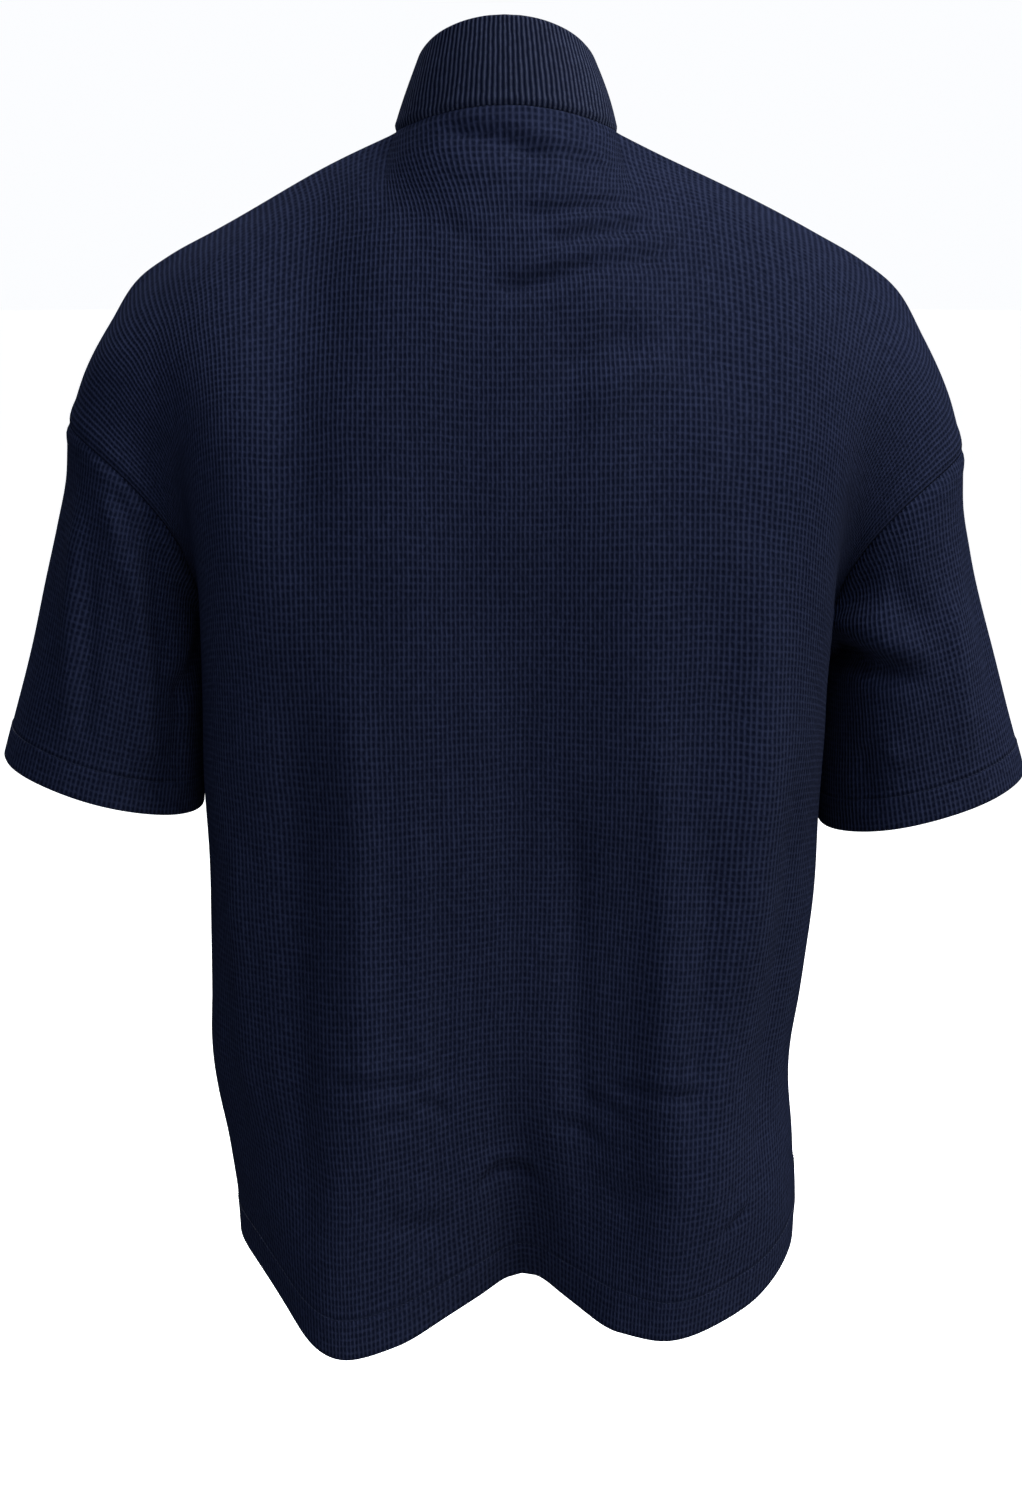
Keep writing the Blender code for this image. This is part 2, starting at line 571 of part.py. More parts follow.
def add_slider(seat, finish):
    """Two plates joined by a post between the tapes, with a lug that holds the pull tab."""
    half = SLIDER_LENGTH / 2
    plate = rounded([(-SLIDER_BOTTOM, -half), (SLIDER_BOTTOM, -half), (SLIDER_TOP, half),
                     (-SLIDER_TOP, half)], SLIDER_CORNER)
    behind = TAPE + 2 * CLEARANCE
    slider = add_prism("zip_slider", seat, finish, plate, -SLIDER_PLATE, 0, 1)
    back = add_prism("slider_back", seat, finish, plate, behind, behind + SLIDER_PLATE, 1)
    wide, bottom, top = SLIDER_POST
    post = add_prism("slider_post", seat, finish, box_outline(-wide, wide, bottom, top),
                     -SLIDER_PLATE / 2, behind + SLIDER_PLATE / 2, 1)
    low, high = HINGE_UP - LUG_HOLE / 2 - LUG_BAR, HINGE_UP + LUG_HOLE / 2 + LUG_BAR
    reach = HINGE_RISE + LUG_HOLE / 2 + LUG_BAR
    lug = add_prism("slider_lug", seat, finish, box_outline(-reach, -SLIDER_PLATE / 2, low, high),
                    -LUG_HALF_WIDTH, LUG_HALF_WIDTH, 0)
    hole = add_prism("slider_lug_hole", seat, finish,
                     box_outline(-reach + LUG_BAR, -SLIDER_PLATE, low + LUG_BAR, high - LUG_BAR),
                     -2 * LUG_HALF_WIDTH, 2 * LUG_HALF_WIDTH, 0)
    combine(lug, hole, "DIFFERENCE")
    for other in (back, post, lug):
        combine(slider, other, "UNION")


def add_pull_tab(seat, finish):
    """A flat tab with a window that the slider's lug passes through. Its origin is on its axis."""
    thick = TAB_THICKNESS / 2
    blade = rounded([(-TAB_HALF_WIDTH, -TAB_LENGTH), (TAB_HALF_WIDTH, -TAB_LENGTH),
                     (TAB_HALF_WIDTH - TAB_TAPER, thick), (TAB_TAPER - TAB_HALF_WIDTH, thick)],
                    TAB_CORNER)
    axis = (0, HINGE_RISE, HINGE_UP)
    tab = add_prism("zip_pull_tab", seat, finish, blade, -thick, thick, 1, axis)
    half, end = TAB_WINDOW
    window = add_prism("tab_window", seat, finish, box_outline(-half, half, -end, -thick),
                       -2 * thick, 2 * thick, 1, axis)
    combine(tab, window, "DIFFERENCE")


def add_zip(front, stand, middle, slit_rows, v):
    """The closed zip: two tapes behind the folded edges, the slider and its tab, and the stops."""
    woven = material("navy zip tape", (0.010, 0.013, 0.028), 0.85)
    metal = material("dark metal", (0.10, 0.105, 0.12), 0.35, 1.0)
    first = slit_rows[0] - 1
    cover = np.array([CLOTH] * (len(v) - 1 - first) + [COLLAR_CLOTH] * (COLLAR_CELLS + 1))
    for name, side, column in (("zip_tape_left", 1, 0), ("zip_tape_right", -1, -1)):
        edge_column = middle + 1 if side > 0 else middle
        edge = np.concatenate([front[first:-1, edge_column], stand[:, column]])
        beside = np.concatenate([front[first:-1, edge_column + side], stand[:, column + side]])
        edge[0] = (edge[0] + edge[1]) / 2
        beside[0] = (beside[0] + beside[1]) / 2
        tape = Surface(name, tape_grid(side, edge, beside, cover), TAPE)
        if side < 0:
            tape.turn_over()
        add_object(name, *wall(tape, *shared_normals([tape])), woven)
    rim, foot = (row * (0, 1, 1) for row in (stand[-1, 0], stand[0, 0]))
    down = unit(foot - rim)
    slider = Seat(rim + down * SLIDER_BELOW_RIM, foot, rim, COLLAR_CLOTH)
    add_slider(slider, metal)
    add_pull_tab(slider, metal)
    half = STOP_HEIGHT / 2
    aside, above_slider = TOP_STOP_AT
    for name, side in (("zip_top_stop_left", 1), ("zip_top_stop_right", -1)):
        stop = rounded(box_outline(-STOP_WIDTH / 2, STOP_WIDTH / 2, -half, half), STOP_CORNER)
        add_prism(name, slider, metal, stop, -STOP_THICKNESS, 0, 1, (side * aside, 0, above_slider))
    end, above = (front[row, middle] * (0, 1, 1) for row in (slit_rows[0], slit_rows[1]))
    foot_seat = Seat(end + unit(above - end) * BOTTOM_STOP_UP, end, above, CLOTH)
    wide = BOTTOM_STOP_HALF_WIDTH
    stop = rounded(box_outline(-wide, wide, -half, half), STOP_CORNER)
    add_prism("zip_bottom_stop", foot_seat, metal, stop, -STOP_THICKNESS, 0, 1)


def main():
    for old in list(bpy.data.objects):
        bpy.data.objects.remove(old)
    knit = material("navy waffle knit", (0.014, 0.019, 0.042), 0.9)

    u_half = np.concatenate([
        np.linspace(0, NECK_U, NECK_CELLS + 1), np.linspace(NECK_U, 1, SHOULDER_CELLS + 1)[1:]])
    u_back = np.concatenate([-u_half[:0:-1], u_half])
    slit_u = NECK_U * 2 / np.pi * np.arcsin(ZIP_HALF_GAP / NECK_SIDE)
    u_front = np.concatenate([-u_half[:0:-1], [-slit_u, slit_u], u_half[1:]])
    hem_v = HEM_DEPTH / BACK_LENGTH
    v = np.concatenate([
        [0, hem_v - STEP, hem_v + STEP], np.linspace(hem_v + STEP, UNDERARM_ROWS[0], BODY_CELLS)[1:],
        UNDERARM_ROWS[1:], np.linspace(UNDERARM_V, 1, ARMHOLE_CELLS + 1)])
    cloth = np.where(v < hem_v, HEM_CLOTH, CLOTH)[:, None]

    back = panel(BACK_SECTIONS, BACK_FOLDS, u_back, v, ARMHOLE_BACK, False)
    front = panel(FRONT_SECTIONS, FRONT_FOLDS, u_front, v, -ARMHOLE_FRONT, True)
    middle = len(u_half) - 1
    front[:, middle, 0], front[:, middle + 1, 0] = -ZIP_HALF_GAP, ZIP_HALF_GAP
    slit_rows = [row for row in range(len(v) - 1) if v[row] > 1 - ZIP_BELOW_NECK / BACK_LENGTH]
    slit = {(row, middle) for row in slit_rows}

    first = len(v) - ARMHOLE_CELLS - 1
    cuff_cloth = np.where(np.array(SLEEVE_T) > CUFF_T, HEM_CLOTH, CLOTH)[:, None]
    left = sleeve(1, back[first:, -1], front[first:, -1])
    right = sleeve(-1, back[first:, 0], front[first:, 0])

    reach = slice(middle - NECK_CELLS, middle + NECK_CELLS + 1)
    back_neck = back[-1, reach][::-1]
    front_neck_left = front[-1, middle + 1:middle + 1 + NECK_CELLS]
    front_neck_right = front[-1, middle - NECK_CELLS + 1:middle + 1]
    base = np.concatenate([front_neck_left, back_neck, front_neck_right])
    turns = np.abs(np.linspace(-1, 1, 4 * NECK_CELLS + 1))
    sides = np.where(np.arange(len(base)) <= 2 * NECK_CELLS, 1, -1)
    stand = collar(base, turns, sides)

    surfaces = [
        Surface("back_panel", back, cloth).turn_over(),
        Surface("front_panel", front, cloth, leave_out=slit),
        Surface("sleeve_left", left, cuff_cloth, closed=True),
        Surface("sleeve_right", right, cuff_cloth, closed=True).turn_over(),
        Surface("collar", stand, COLLAR_CLOTH),
    ]
    for surface, normals in zip(surfaces, shared_normals(surfaces)):
        add_object(surface.name, *wall(surface, normals), knit)
    add_zip(front, stand, middle, slit_rows, v)


main()
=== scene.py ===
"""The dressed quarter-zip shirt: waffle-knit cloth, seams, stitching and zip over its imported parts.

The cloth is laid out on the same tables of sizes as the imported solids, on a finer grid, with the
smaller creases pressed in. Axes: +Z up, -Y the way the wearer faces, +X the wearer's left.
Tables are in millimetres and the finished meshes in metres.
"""

from __future__ import annotations

import logging
from collections.abc import Callable, Mapping, Sequence
from dataclasses import dataclass, field
from enum import Enum
from typing import NamedTuple

import bpy
import numpy as np
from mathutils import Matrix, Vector


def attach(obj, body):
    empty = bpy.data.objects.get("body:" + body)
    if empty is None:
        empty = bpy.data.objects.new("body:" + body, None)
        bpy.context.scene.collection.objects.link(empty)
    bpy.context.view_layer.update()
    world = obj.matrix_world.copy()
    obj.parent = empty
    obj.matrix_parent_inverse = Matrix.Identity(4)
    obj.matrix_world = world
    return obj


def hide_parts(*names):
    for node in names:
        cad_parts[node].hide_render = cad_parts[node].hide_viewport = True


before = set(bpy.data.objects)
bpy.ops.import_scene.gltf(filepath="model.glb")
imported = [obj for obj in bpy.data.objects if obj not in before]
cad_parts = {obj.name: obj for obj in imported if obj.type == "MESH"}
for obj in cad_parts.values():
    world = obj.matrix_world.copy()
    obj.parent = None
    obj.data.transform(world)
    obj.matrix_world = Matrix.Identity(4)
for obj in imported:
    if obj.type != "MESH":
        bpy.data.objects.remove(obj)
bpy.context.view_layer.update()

MM = 0.001
Points = np.ndarray
Place = tuple[float, float, float]
Spot = tuple[float, float]
Colour = tuple[float, float, float]

log = logging.getLogger("shirt")


# ---------------------------------------------------------------- tables of the worn shape
class Knot(NamedTuple):
    """A place on the shoulder seam, seen from behind."""

    x: float
    z: float


class SideSeam(NamedTuple):
    """A place on the side seam at share v of the way up the cloth."""

    v: float
    x: float
    y: float
    z: float


class Section(NamedTuple):
    """One section of a panel: where each rib of the shape passes at height v."""

    v: float
    centre: Place
    neck: Place
    blade: Place
    outer: Place
    crest: Place
    valley: Place


class Ring(NamedTuple):
    """One ring of a sleeve, from the armhole at t = 0 to the cuff at t = 1."""

    t: float
    outer_x: float
    outer_z: float
    inner_x: float
    inner_z: float
    back: float
    front: float


class Hang(NamedTuple):
    """How far the worn shirt strays from a mirror image at height z."""

    z: float
    centre: float
    middle: float
    side: float
    lift: float


class Lobe(NamedTuple):
    """A stretch of the back hem that hangs lower, or higher, than its mirror image."""

    u: float
    width: float
    drop: float


class Crease(NamedTuple):
    """A fold in the cloth: a ridge where depth is positive and a trough where it is negative."""

    start: Spot
    end: Spot
    bow: float
    width: float
    depth: float
    lip: float = 0.0


class Wave(NamedTuple):
    """A shallow undulation of the cloth: its length across and up, where it starts, its height."""

    across: float
    up: float
    start: float
    height: float


SHOULDER = (
    Knot(71, 0), Knot(134, -30), Knot(196, -63), Knot(226, -80.5),
    Knot(247, -97), Knot(266, -129), Knot(284.5, -167), Knot(295, -202),
)
SIDE_SEAM = (
    SideSeam(0.000, 196, 0, -727), SideSeam(0.060, 196, 0, -682), SideSeam(0.150, 196, -1, -626),
    SideSeam(0.280, 199, -2, -543), SideSeam(0.420, 200, -2, -447), SideSeam(0.545, 198.5, -1, -361),
    SideSeam(0.567, 199.8, 0, -345), SideSeam(0.580, 203.5, 0, -338),
)
RIB_U = {"centre": 0.0, "neck": 0.27, "blade": 0.40, "outer": 0.60, "crest": 0.79, "valley": 0.90}
BACK_SECTIONS = (
    Section(0.00, (0, 101, -754), (73, 152, -771), (106, 161, -775),
            (152, 127, -764), (188, 62, -745), (194, 30, -735)),
    Section(0.06, (0, 113, -708), (74, 148, -723), (108, 156, -728),
            (156, 121, -717), (190, 59, -700), (195, 29, -691)),
    Section(0.15, (0, 122, -640), (75, 142, -651), (110, 148, -655),
            (162, 111, -649), (193, 56, -640), (196, 27, -633)),
    Section(0.28, (0, 122, -537), (77, 133, -543), (115, 132, -546),
            (172, 100, -548), (199, 53, -548), (199, 25, -546)),
    Section(0.42, (0, 122, -430), (79, 130, -434), (118, 124, -437),
            (178, 98, -441), (202.5, 56, -446), (200.5, 27, -447)),
    Section(0.50, (0, 124, -369), (80, 130, -371), (120, 124, -372),
            (180, 102, -378), (203, 61, -388), (202.5, 30, -396)),
    Section(0.58, (0, 126, -308), (80, 130, -308), (121, 124, -308),
            (182, 105, -316), (203, 67, -336), (203, 34, -352)),
    Section(0.66, (0, 126, -244), (80, 128, -242), (121, 122, -243),
            (184, 108, -255), (205, 75, -284), (205, 51, -302)),
    Section(0.765, (0, 118, -163), (80, 116, -160), (121, 108, -162),
            (187, 100, -177), (215, 82, -210), (224, 72, -232)),
    Section(0.86, (0, 102, -90), (79, 92, -88), (120, 76, -93),
            (192, 76, -118), (237, 68, -161), (252, 66, -191)),
    Section(0.94, (0, 83, -31), (77, 50, -35), (119, 36, -45),
            (197, 40, -82), (256, 37, -135), (274, 38, -169)),
)
FRONT_SECTIONS = (
    Section(0.00, (0, -146, -746), (74, -152, -752), (110, -148, -754),
            (158, -112, -748), (191, -60, -737), (196, -30, -730)),
    Section(0.06, (0, -143, -703), (75, -150, -707), (111, -146, -709),
            (162, -111, -704), (192, -59, -695), (196, -29, -689)),
    Section(0.15, (0, -140, -640), (76, -147, -640), (113, -142, -640),
            (168, -108, -640), (194, -58, -637), (197, -28, -632)),
    Section(0.28, (0, -141, -548), (78, -144, -542), (116, -137, -539),
            (175, -104, -543), (199, -56, -547), (200, -27, -546)),
    Section(0.42, (0, -144, -450), (79, -144, -434), (118, -136, -428),
            (180, -105, -436), (202, -58, -445), (202, -29, -447)),
    Section(0.50, (0, -144, -394), (80, -144, -372), (120, -136, -364),
            (182, -107, -373), (203, -62, -387), (202.5, -31, -396)),
    Section(0.58, (0, -143, -338), (80, -142, -310), (121, -134, -300),
            (184, -109, -311), (203, -67, -335), (203, -34, -352)),
    Section(0.66, (0, -139, -283), (80, -136, -247), (121, -128, -235),
            (186, -109, -251), (205, -74, -283), (205, -50, -302)),
    Section(0.765, (0, -128, -210), (80, -120, -165), (121, -108, -151),
            (189, -99, -174), (215, -80, -210), (224, -70, -232)),
    Section(0.86, (0, -112, -146), (79, -93, -96), (120, -74, -86),
            (193, -74, -115), (237, -66, -161), (252, -64, -191)),
    Section(0.94, (0, -98, -92), (76, -52, -43), (119, -37, -41),
            (198, -39, -80), (256, -36, -135), (274, -37, -169)),
)
SLEEVE_RINGS = (
    Ring(0.00, 295.0, -202, 203.5, -338, 72, 70), Ring(0.08, 295.4, -219, 209.5, -345, 74, 72),
    Ring(0.16, 296.5, -237, 210.5, -354, 75, 72), Ring(0.30, 303.5, -269, 210.5, -373, 75, 72),
    Ring(0.52, 316.0, -316, 210.5, -401, 74, 71), Ring(0.76, 330.5, -367, 211.0, -430, 72, 70),
    Ring(1.00, 346.5, -421, 213.0, -459, 73, 68),
)
HANG = (
    Hang(-790, -8, 5, -4, 0), Hang(-740, -7, 4.5, -4, 0), Hang(-709, -5, 4, -3.5, 0),
    Hang(-672, -2, 3, 0, 0), Hang(-636, 1, 4, 4.5, 0), Hang(-600, 2, 4, 6, 0), Hang(-565, 2, 3, 4, 2),
    Hang(-530, 1, 2, 2, 5), Hang(-461, 0, 0, -0.5, 11), Hang(-345, 0, 0, -3, 14),
    Hang(-250, 0, 0, -2.5, 18), Hang(-170, 0, 0, -4, 15), Hang(-100, 0, 0, -3.5, 5),
    Hang(-50, 1, 0, -1, 0), Hang(-12, 3, 4, 3, 0), Hang(0, 3, 3, 3, 0), Hang(70, 4, 4, 3, 0),
)
BACK_LOBES = (Lobe(0.36, 0.20, 7), Lobe(0.68, 0.14, -10), Lobe(-0.40, 0.20, -6))
LOBE_REACH = 0.5

# The largest folds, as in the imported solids. Starts and ends are shares of the half width and
# of the length, and the other sizes are millimetres.
BACK_FOLDS = (
    Crease((-0.01, -0.15), (0.00, 0.24), 0, 24, -9),
    Crease((-0.25, -0.05), (-0.17, 0.50), 0, 42, -9),
    Crease((-0.50, 0.02), (-0.46, 0.62), 0, 34, 6),
    Crease((0.22, 0.10), (0.16, 0.52), 0, 40, 5),
    Crease((0.62, 0.06), (0.50, 0.50), 6, 34, -6),
    Crease((-0.30, 0.815), (-0.07, 0.775), -6, 13, -4),
    Crease((-0.36, 0.790), (-0.12, 0.745), -6, 14, 3.5),
)
FRONT_FOLDS = (
    Crease((0.30, -0.05), (0.36, 0.52), 0, 40, -8),
    Crease((-0.33, -0.05), (-0.30, 0.46), 0, 38, -7),
    Crease((0.02, -0.05), (0.02, 0.40), 0, 46, 6),
    Crease((0.62, 0.00), (0.60, 0.46), 0, 32, 5),
    Crease((-0.64, 0.00), (-0.58, 0.50), 0, 32, 5),
    Crease((0.62, 0.86), (0.46, 0.66), 8, 20, -5),
    Crease((-0.62, 0.86), (-0.46, 0.66), -8, 20, -5),
)

# Smaller creases of the back, as they show.
BACK_CREASES = (
    Crease((0.12, 0.988), (-0.09, 0.958), 2, 5, -5.0, 0.6),      # tuck under the collar
    Crease((0.11, 0.950), (-0.04, 0.944), 1, 4, 2.4),
    Crease((0.00, 0.968), (-0.22, 0.950), 2, 4, -2.8, 0.5),
    Crease((-0.06, 0.890), (-0.34, 0.911), -2, 5, -5.5, 0.6),     # slanting, between the shoulders
    Crease((0.05, 0.851), (-0.20, 0.873), -2, 6, -5.0, 0.5),
    Crease((0.02, 0.914), (-0.34, 0.930), -3, 5, -3.6, 0.5),
    Crease((-0.12, 0.866), (-0.38, 0.886), -3, 6, -3.6, 0.5),
    Crease((0.16, 0.905), (0.05, 0.880), 2, 7, -1.6, 0.4),
    Crease((-0.50, 0.68), (-0.53, 0.20), 0, 17, 5.0),             # long soft ridges and troughs
    Crease((-0.60, 0.52), (-0.64, 0.08), 0, 13, -3.6),
    Crease((-0.30, 0.56), (-0.36, 0.14), 3, 13, 3.6),
    Crease((-0.42, 0.46), (-0.45, 0.10), 0, 9, -3.2),
    Crease((-0.115, 0.48), (-0.17, 0.07), 2, 13, -4.2),
    Crease((0.06, 0.60), (0.03, 0.16), -2, 15, 2.6),
    Crease((0.18, 0.50), (0.15, 0.10), 2, 12, -2.4),
    Crease((0.335, 0.60), (0.31, 0.04), 0, 17, 5.2),
    Crease((0.45, 0.58), (0.50, 0.02), 0, 17, -6.5),
    Crease((0.62, 0.44), (0.63, 0.06), 0, 14, 3.0),
    Crease((0.47, 0.82), (0.42, 0.56), 4, 20, -2.6),
    Crease((-0.38, 0.80), (-0.44, 0.58), -3, 22, 2.4),
    Crease((0.42, 0.219), (0.13, 0.205), 2, 4, -2.1, 0.5),        # level, above the hem
    Crease((0.23, 0.200), (0.12, 0.174), 2, 4, -2.0, 0.5),
    Crease((0.33, 0.188), (0.20, 0.182), 1, 4.5, -1.8, 0.4),
    Crease((-0.22, 0.205), (-0.50, 0.203), 2, 4, -2.3, 0.5),
    Crease((-0.16, 0.191), (-0.31, 0.177), 2, 4, -2.0, 0.5),
    Crease((-0.08, 0.168), (-0.24, 0.150), 2, 5, -2.0, 0.4),
    Crease((0.105, 0.102), (-0.085, 0.094), 13, 5, -3.2, 0.6),    # arched, over the hem's valley
    Crease((-0.51, 0.082), (-0.60, 0.094), 0, 4, -2.4, 0.4),
    Crease((0.30, 0.110), (0.14, 0.085), -3, 8, -2.0, 0.4),
    Crease((-0.22, 0.100), (-0.40, 0.130), 3, 9, -2.2, 0.4),
)
FRONT_CREASES = (
    Crease((0.08, 0.806), (0.44, 0.742), 3, 12, -2.2, 0.3),       # from the zip's end
    Crease((-0.06, 0.802), (-0.46, 0.730), -3, 12, -2.1, 0.3),
    Crease((0.16, 0.772), (-0.15, 0.762), -5, 11, -1.3, 0.2),
    Crease((0.30, 0.58), (0.27, 0.18), 0, 17, 4.4),
    Crease((0.42, 0.52), (0.45, 0.06), 0, 15, -4.4),
    Crease((-0.12, 0.56), (-0.16, 0.12), 2, 14, -3.8),
    Crease((-0.46, 0.54), (-0.50, 0.10), 0, 16, 4.4),
    Crease((-0.30, 0.46), (-0.33, 0.08), 0, 12, -3.0),
    Crease((0.13, 0.50), (0.10, 0.12), 0, 13, -2.6),
    Crease((0.54, 0.44), (0.58, 0.06), 0, 14, 3.2),
    Crease((0.54, 0.232), (0.08, 0.208), 3, 9, -1.7, 0.3),
    Crease((-0.10, 0.210), (-0.58, 0.232), -3, 10, -1.8, 0.3),
    Crease((0.32, 0.198), (0.04, 0.172), 3, 8, -1.2, 0.2),
    Crease((0.17, 0.128), (-0.16, 0.118), 11, 11, -1.9, 0.3),
)

# Creases of the sleeves: shares of the way round, from the underarm over the back, and of the
# way from the armhole to the cuff.
LEFT_SLEEVE_CREASES = (
    Crease((0.385, 0.10), (0.290, 0.92), 4, 12, 4.2),
    Crease((0.330, 0.20), (0.265, 0.95), 2, 9, -3.4),
    Crease((0.315, 0.05), (0.190, 0.40), 4, 11, 5.0),
    Crease((0.205, 0.26), (0.165, 0.90), 0, 12, 4.4),
    Crease((0.120, 0.30), (0.105, 0.90), 0, 9, -3.4),
    Crease((0.030, 0.10), (0.130, 0.52), 0, 10, -4.0, -0.4),
    Crease((0.300, 0.02), (0.250, 0.22), 2, 7, -3.0, 0.4),
    Crease((0.950, 0.06), (0.790, 0.44), 0, 16, -2.6, 0.2),
    Crease((0.700, 0.20), (0.730, 0.85), 0, 13, 3.8),
    Crease((0.580, 0.12), (0.640, 0.80), 0, 13, -3.0),
)
RIGHT_SLEEVE_CREASES = (
    Crease((-0.03, 0.00), (0.290, 0.54), -6, 7.5, -9.0, -0.8),
    Crease((0.060, 0.00), (0.250, 0.30), -4, 9, 5.5),
    Crease((0.235, 0.10), (0.300, 0.36), 3, 9, -2.6, 0.4),
    Crease((0.175, 0.62), (0.225, 0.76), 0, 6, 2.0),
    Crease((0.345, 0.26), (0.315, 0.92), 0, 12, 3.6),
    Crease((0.140, 0.56), (0.150, 0.94), 0, 9, -2.4),
    Crease((0.420, 0.18), (0.400, 0.86), 0, 11, -2.8),
    Crease((0.960, 0.05), (0.780, 0.50), 0, 16, -2.8, 0.2),
    Crease((0.690, 0.22), (0.720, 0.88), 0, 13, 3.6),
    Crease((0.600, 0.14), (0.650, 0.78), 0, 13, -2.8),
)
# Creases of the collar: shares of the way round, 0 at the centre back, and of its height.
COLLAR_CREASES = (
    Crease((0.24, -0.05), (0.10, 0.62), 0, 8, -1.0, 0.4),
    Crease((0.02, -0.05), (0.06, 0.50), 0, 7, 0.7),
    Crease((-0.34, 0.00), (-0.26, 0.80), 0, 10, 0.8),
    Crease((0.62, 0.10), (0.52, 0.85), 0, 11, -0.9),
    Crease((-0.66, 0.05), (-0.60, 0.80), 0, 11, -0.9),
)
WAVES = (
    Wave(118, 430, 0.4, 0.55), Wave(-83, 520, 1.9, 0.40), Wave(210, -260, 2.7, 0.60),
    Wave(61, 340, 4.0, 0.22), Wave(-155, -190, 5.1, 0.35), Wave(390, 97, 0.9, 0.30),
)


# ---------------------------------------------------------------- curves
def curve(knots: Sequence[float], values: Points, at: Points) -> Points:
    """Draws a smooth curve through values at knots.

    Args:
        knots: Rising places at which the values are given.
        values: The values, one for each knot; each may itself be an array.
        at: Places at which the curve is wanted.

    Returns:
        The curve's values at those places.
    """
    knots = np.asarray(knots, float)
    values = np.asarray(values, float)
    slopes = np.gradient(values, knots, axis=0)
    at = np.clip(np.asarray(at, float), knots[0], knots[-1])
    i = np.clip(np.searchsorted(knots, at, side="right") - 1, 0, len(knots) - 2)
    gap = knots[i + 1] - knots[i]
    t = (at - knots[i]) / gap
    extra = (...,) + (None,) * (values.ndim - 1)
    t, gap = t[extra], gap[extra]
    return (
        (2 * t**3 - 3 * t**2 + 1) * values[i]
        + (t**3 - 2 * t**2 + t) * gap * slopes[i]
        + (3 * t**2 - 2 * t**3) * values[i + 1]
        + (t**3 - t**2) * gap * slopes[i + 1]
    )


def ease(x: Points | float) -> Points:
    """Rises smoothly from 0 at 0 to 1 at 1."""
    x = np.clip(x, 0, 1)
    return x * x * (3 - 2 * x)


def bell(x: Points | float) -> Points:
    """1 at 0, and falling smoothly away from it on both sides."""
    return np.exp(-(x**2))


def unit(vectors: Points) -> Points:
    """The same vectors at length 1."""
    return vectors / np.maximum(np.linalg.norm(vectors, axis=-1, keepdims=True), 1e-9)


def cloth_normals(grid: Points) -> Points:
    """Unit normals of a grid of points indexed [row, column]."""
    return unit(np.cross(np.gradient(grid, axis=1), np.gradient(grid, axis=0)))


def steps_of(line: Points) -> Points:
    """Distances along a line of points, from 0 at its first."""
    return np.concatenate([[0], np.cumsum(np.linalg.norm(np.diff(line, axis=0), axis=1))])


def on_line(spots: Points | float, distance: Points, line: Points) -> Points:
    """Points at spots along a line whose own points lie at the given distances."""
    return np.stack([np.interp(spots, distance, line[:, k]) for k in range(3)], axis=-1)


def pressed(
    creases: Sequence[Crease], across: Points, up: Points, size: Spot, round_by: float = 0
) -> Points:
    """Adds up the heights of creases over points of flat cloth.

    Args:
        creases: The creases, with starts and ends in shares of the size.
        across: How far each point lies across the cloth, in millimetres.
        up: How far each point lies up the cloth, in millimetres.
        size: Millimetres that a share of 1 stands for, across and up.
        round_by: The way round in millimetres where the cloth is a closed ring, or 0.

    Returns:
        The height of each point over the smooth cloth, in millimetres.
    """
    height = np.zeros(np.broadcast(across, up).shape)
    for crease in creases:
        start, end = np.array(crease.start) * size, np.array(crease.end) * size
        length = np.linalg.norm(end - start)
        along_x, along_y = (end - start) / length
        dx, dy = across - start[0], up - start[1]
        if round_by:
            behind = round_by / 2 - (end - start)[0] / 2
            dx = (dx + behind) % round_by - behind
        along = (dx * along_x + dy * along_y) / length
        beside = dx * along_y - dy * along_x - crease.bow * np.sin(np.pi * np.clip(along, 0, 1))
        fade = ease(along / 0.25) * ease((1 - along) / 0.35)
        far_side = beside * np.sign(crease.lip or 1) / crease.width
        shape = bell(beside / crease.width) - abs(crease.lip) * bell((far_side - 1.7) / 1.2)
        height += crease.depth * shape * fade
    return height


def rippled(across: Points, up: Points) -> Points:
    """Height of the cloth's shallow undulations over points of flat cloth, in millimetres."""
    return sum(
        wave.height * np.sin(2 * np.pi * (across / wave.across + up / wave.up) + wave.start)
        for wave in WAVES
    )


# ---------------------------------------------------------------- the worn shape
@dataclass(frozen=True)
class Cut:
    """Sizes of the flat pieces and of their cloth, in millimetres, and cut areas in square metres."""

    half_width: float = 340
    length: float = 745
    hem: float = 25
    cuff: float = 22
    sleeve_round: float = 456
    sleeve_length: float = 180
    sleeve_flat: Spot = (480, 230)
    back_area: float = 0.455
    front_area: float = 0.440
    sleeve_area: float = 0.083
    collar_half: float = 214
    collar_height: float = 58
    zip_below_neck: float = 140
    zip_half_gap: float = 5
    cloth: float = 1.6
    hem_cloth: float = 2.6
    collar_cloth: float = 3.0
    seam_inset: float = 0.03


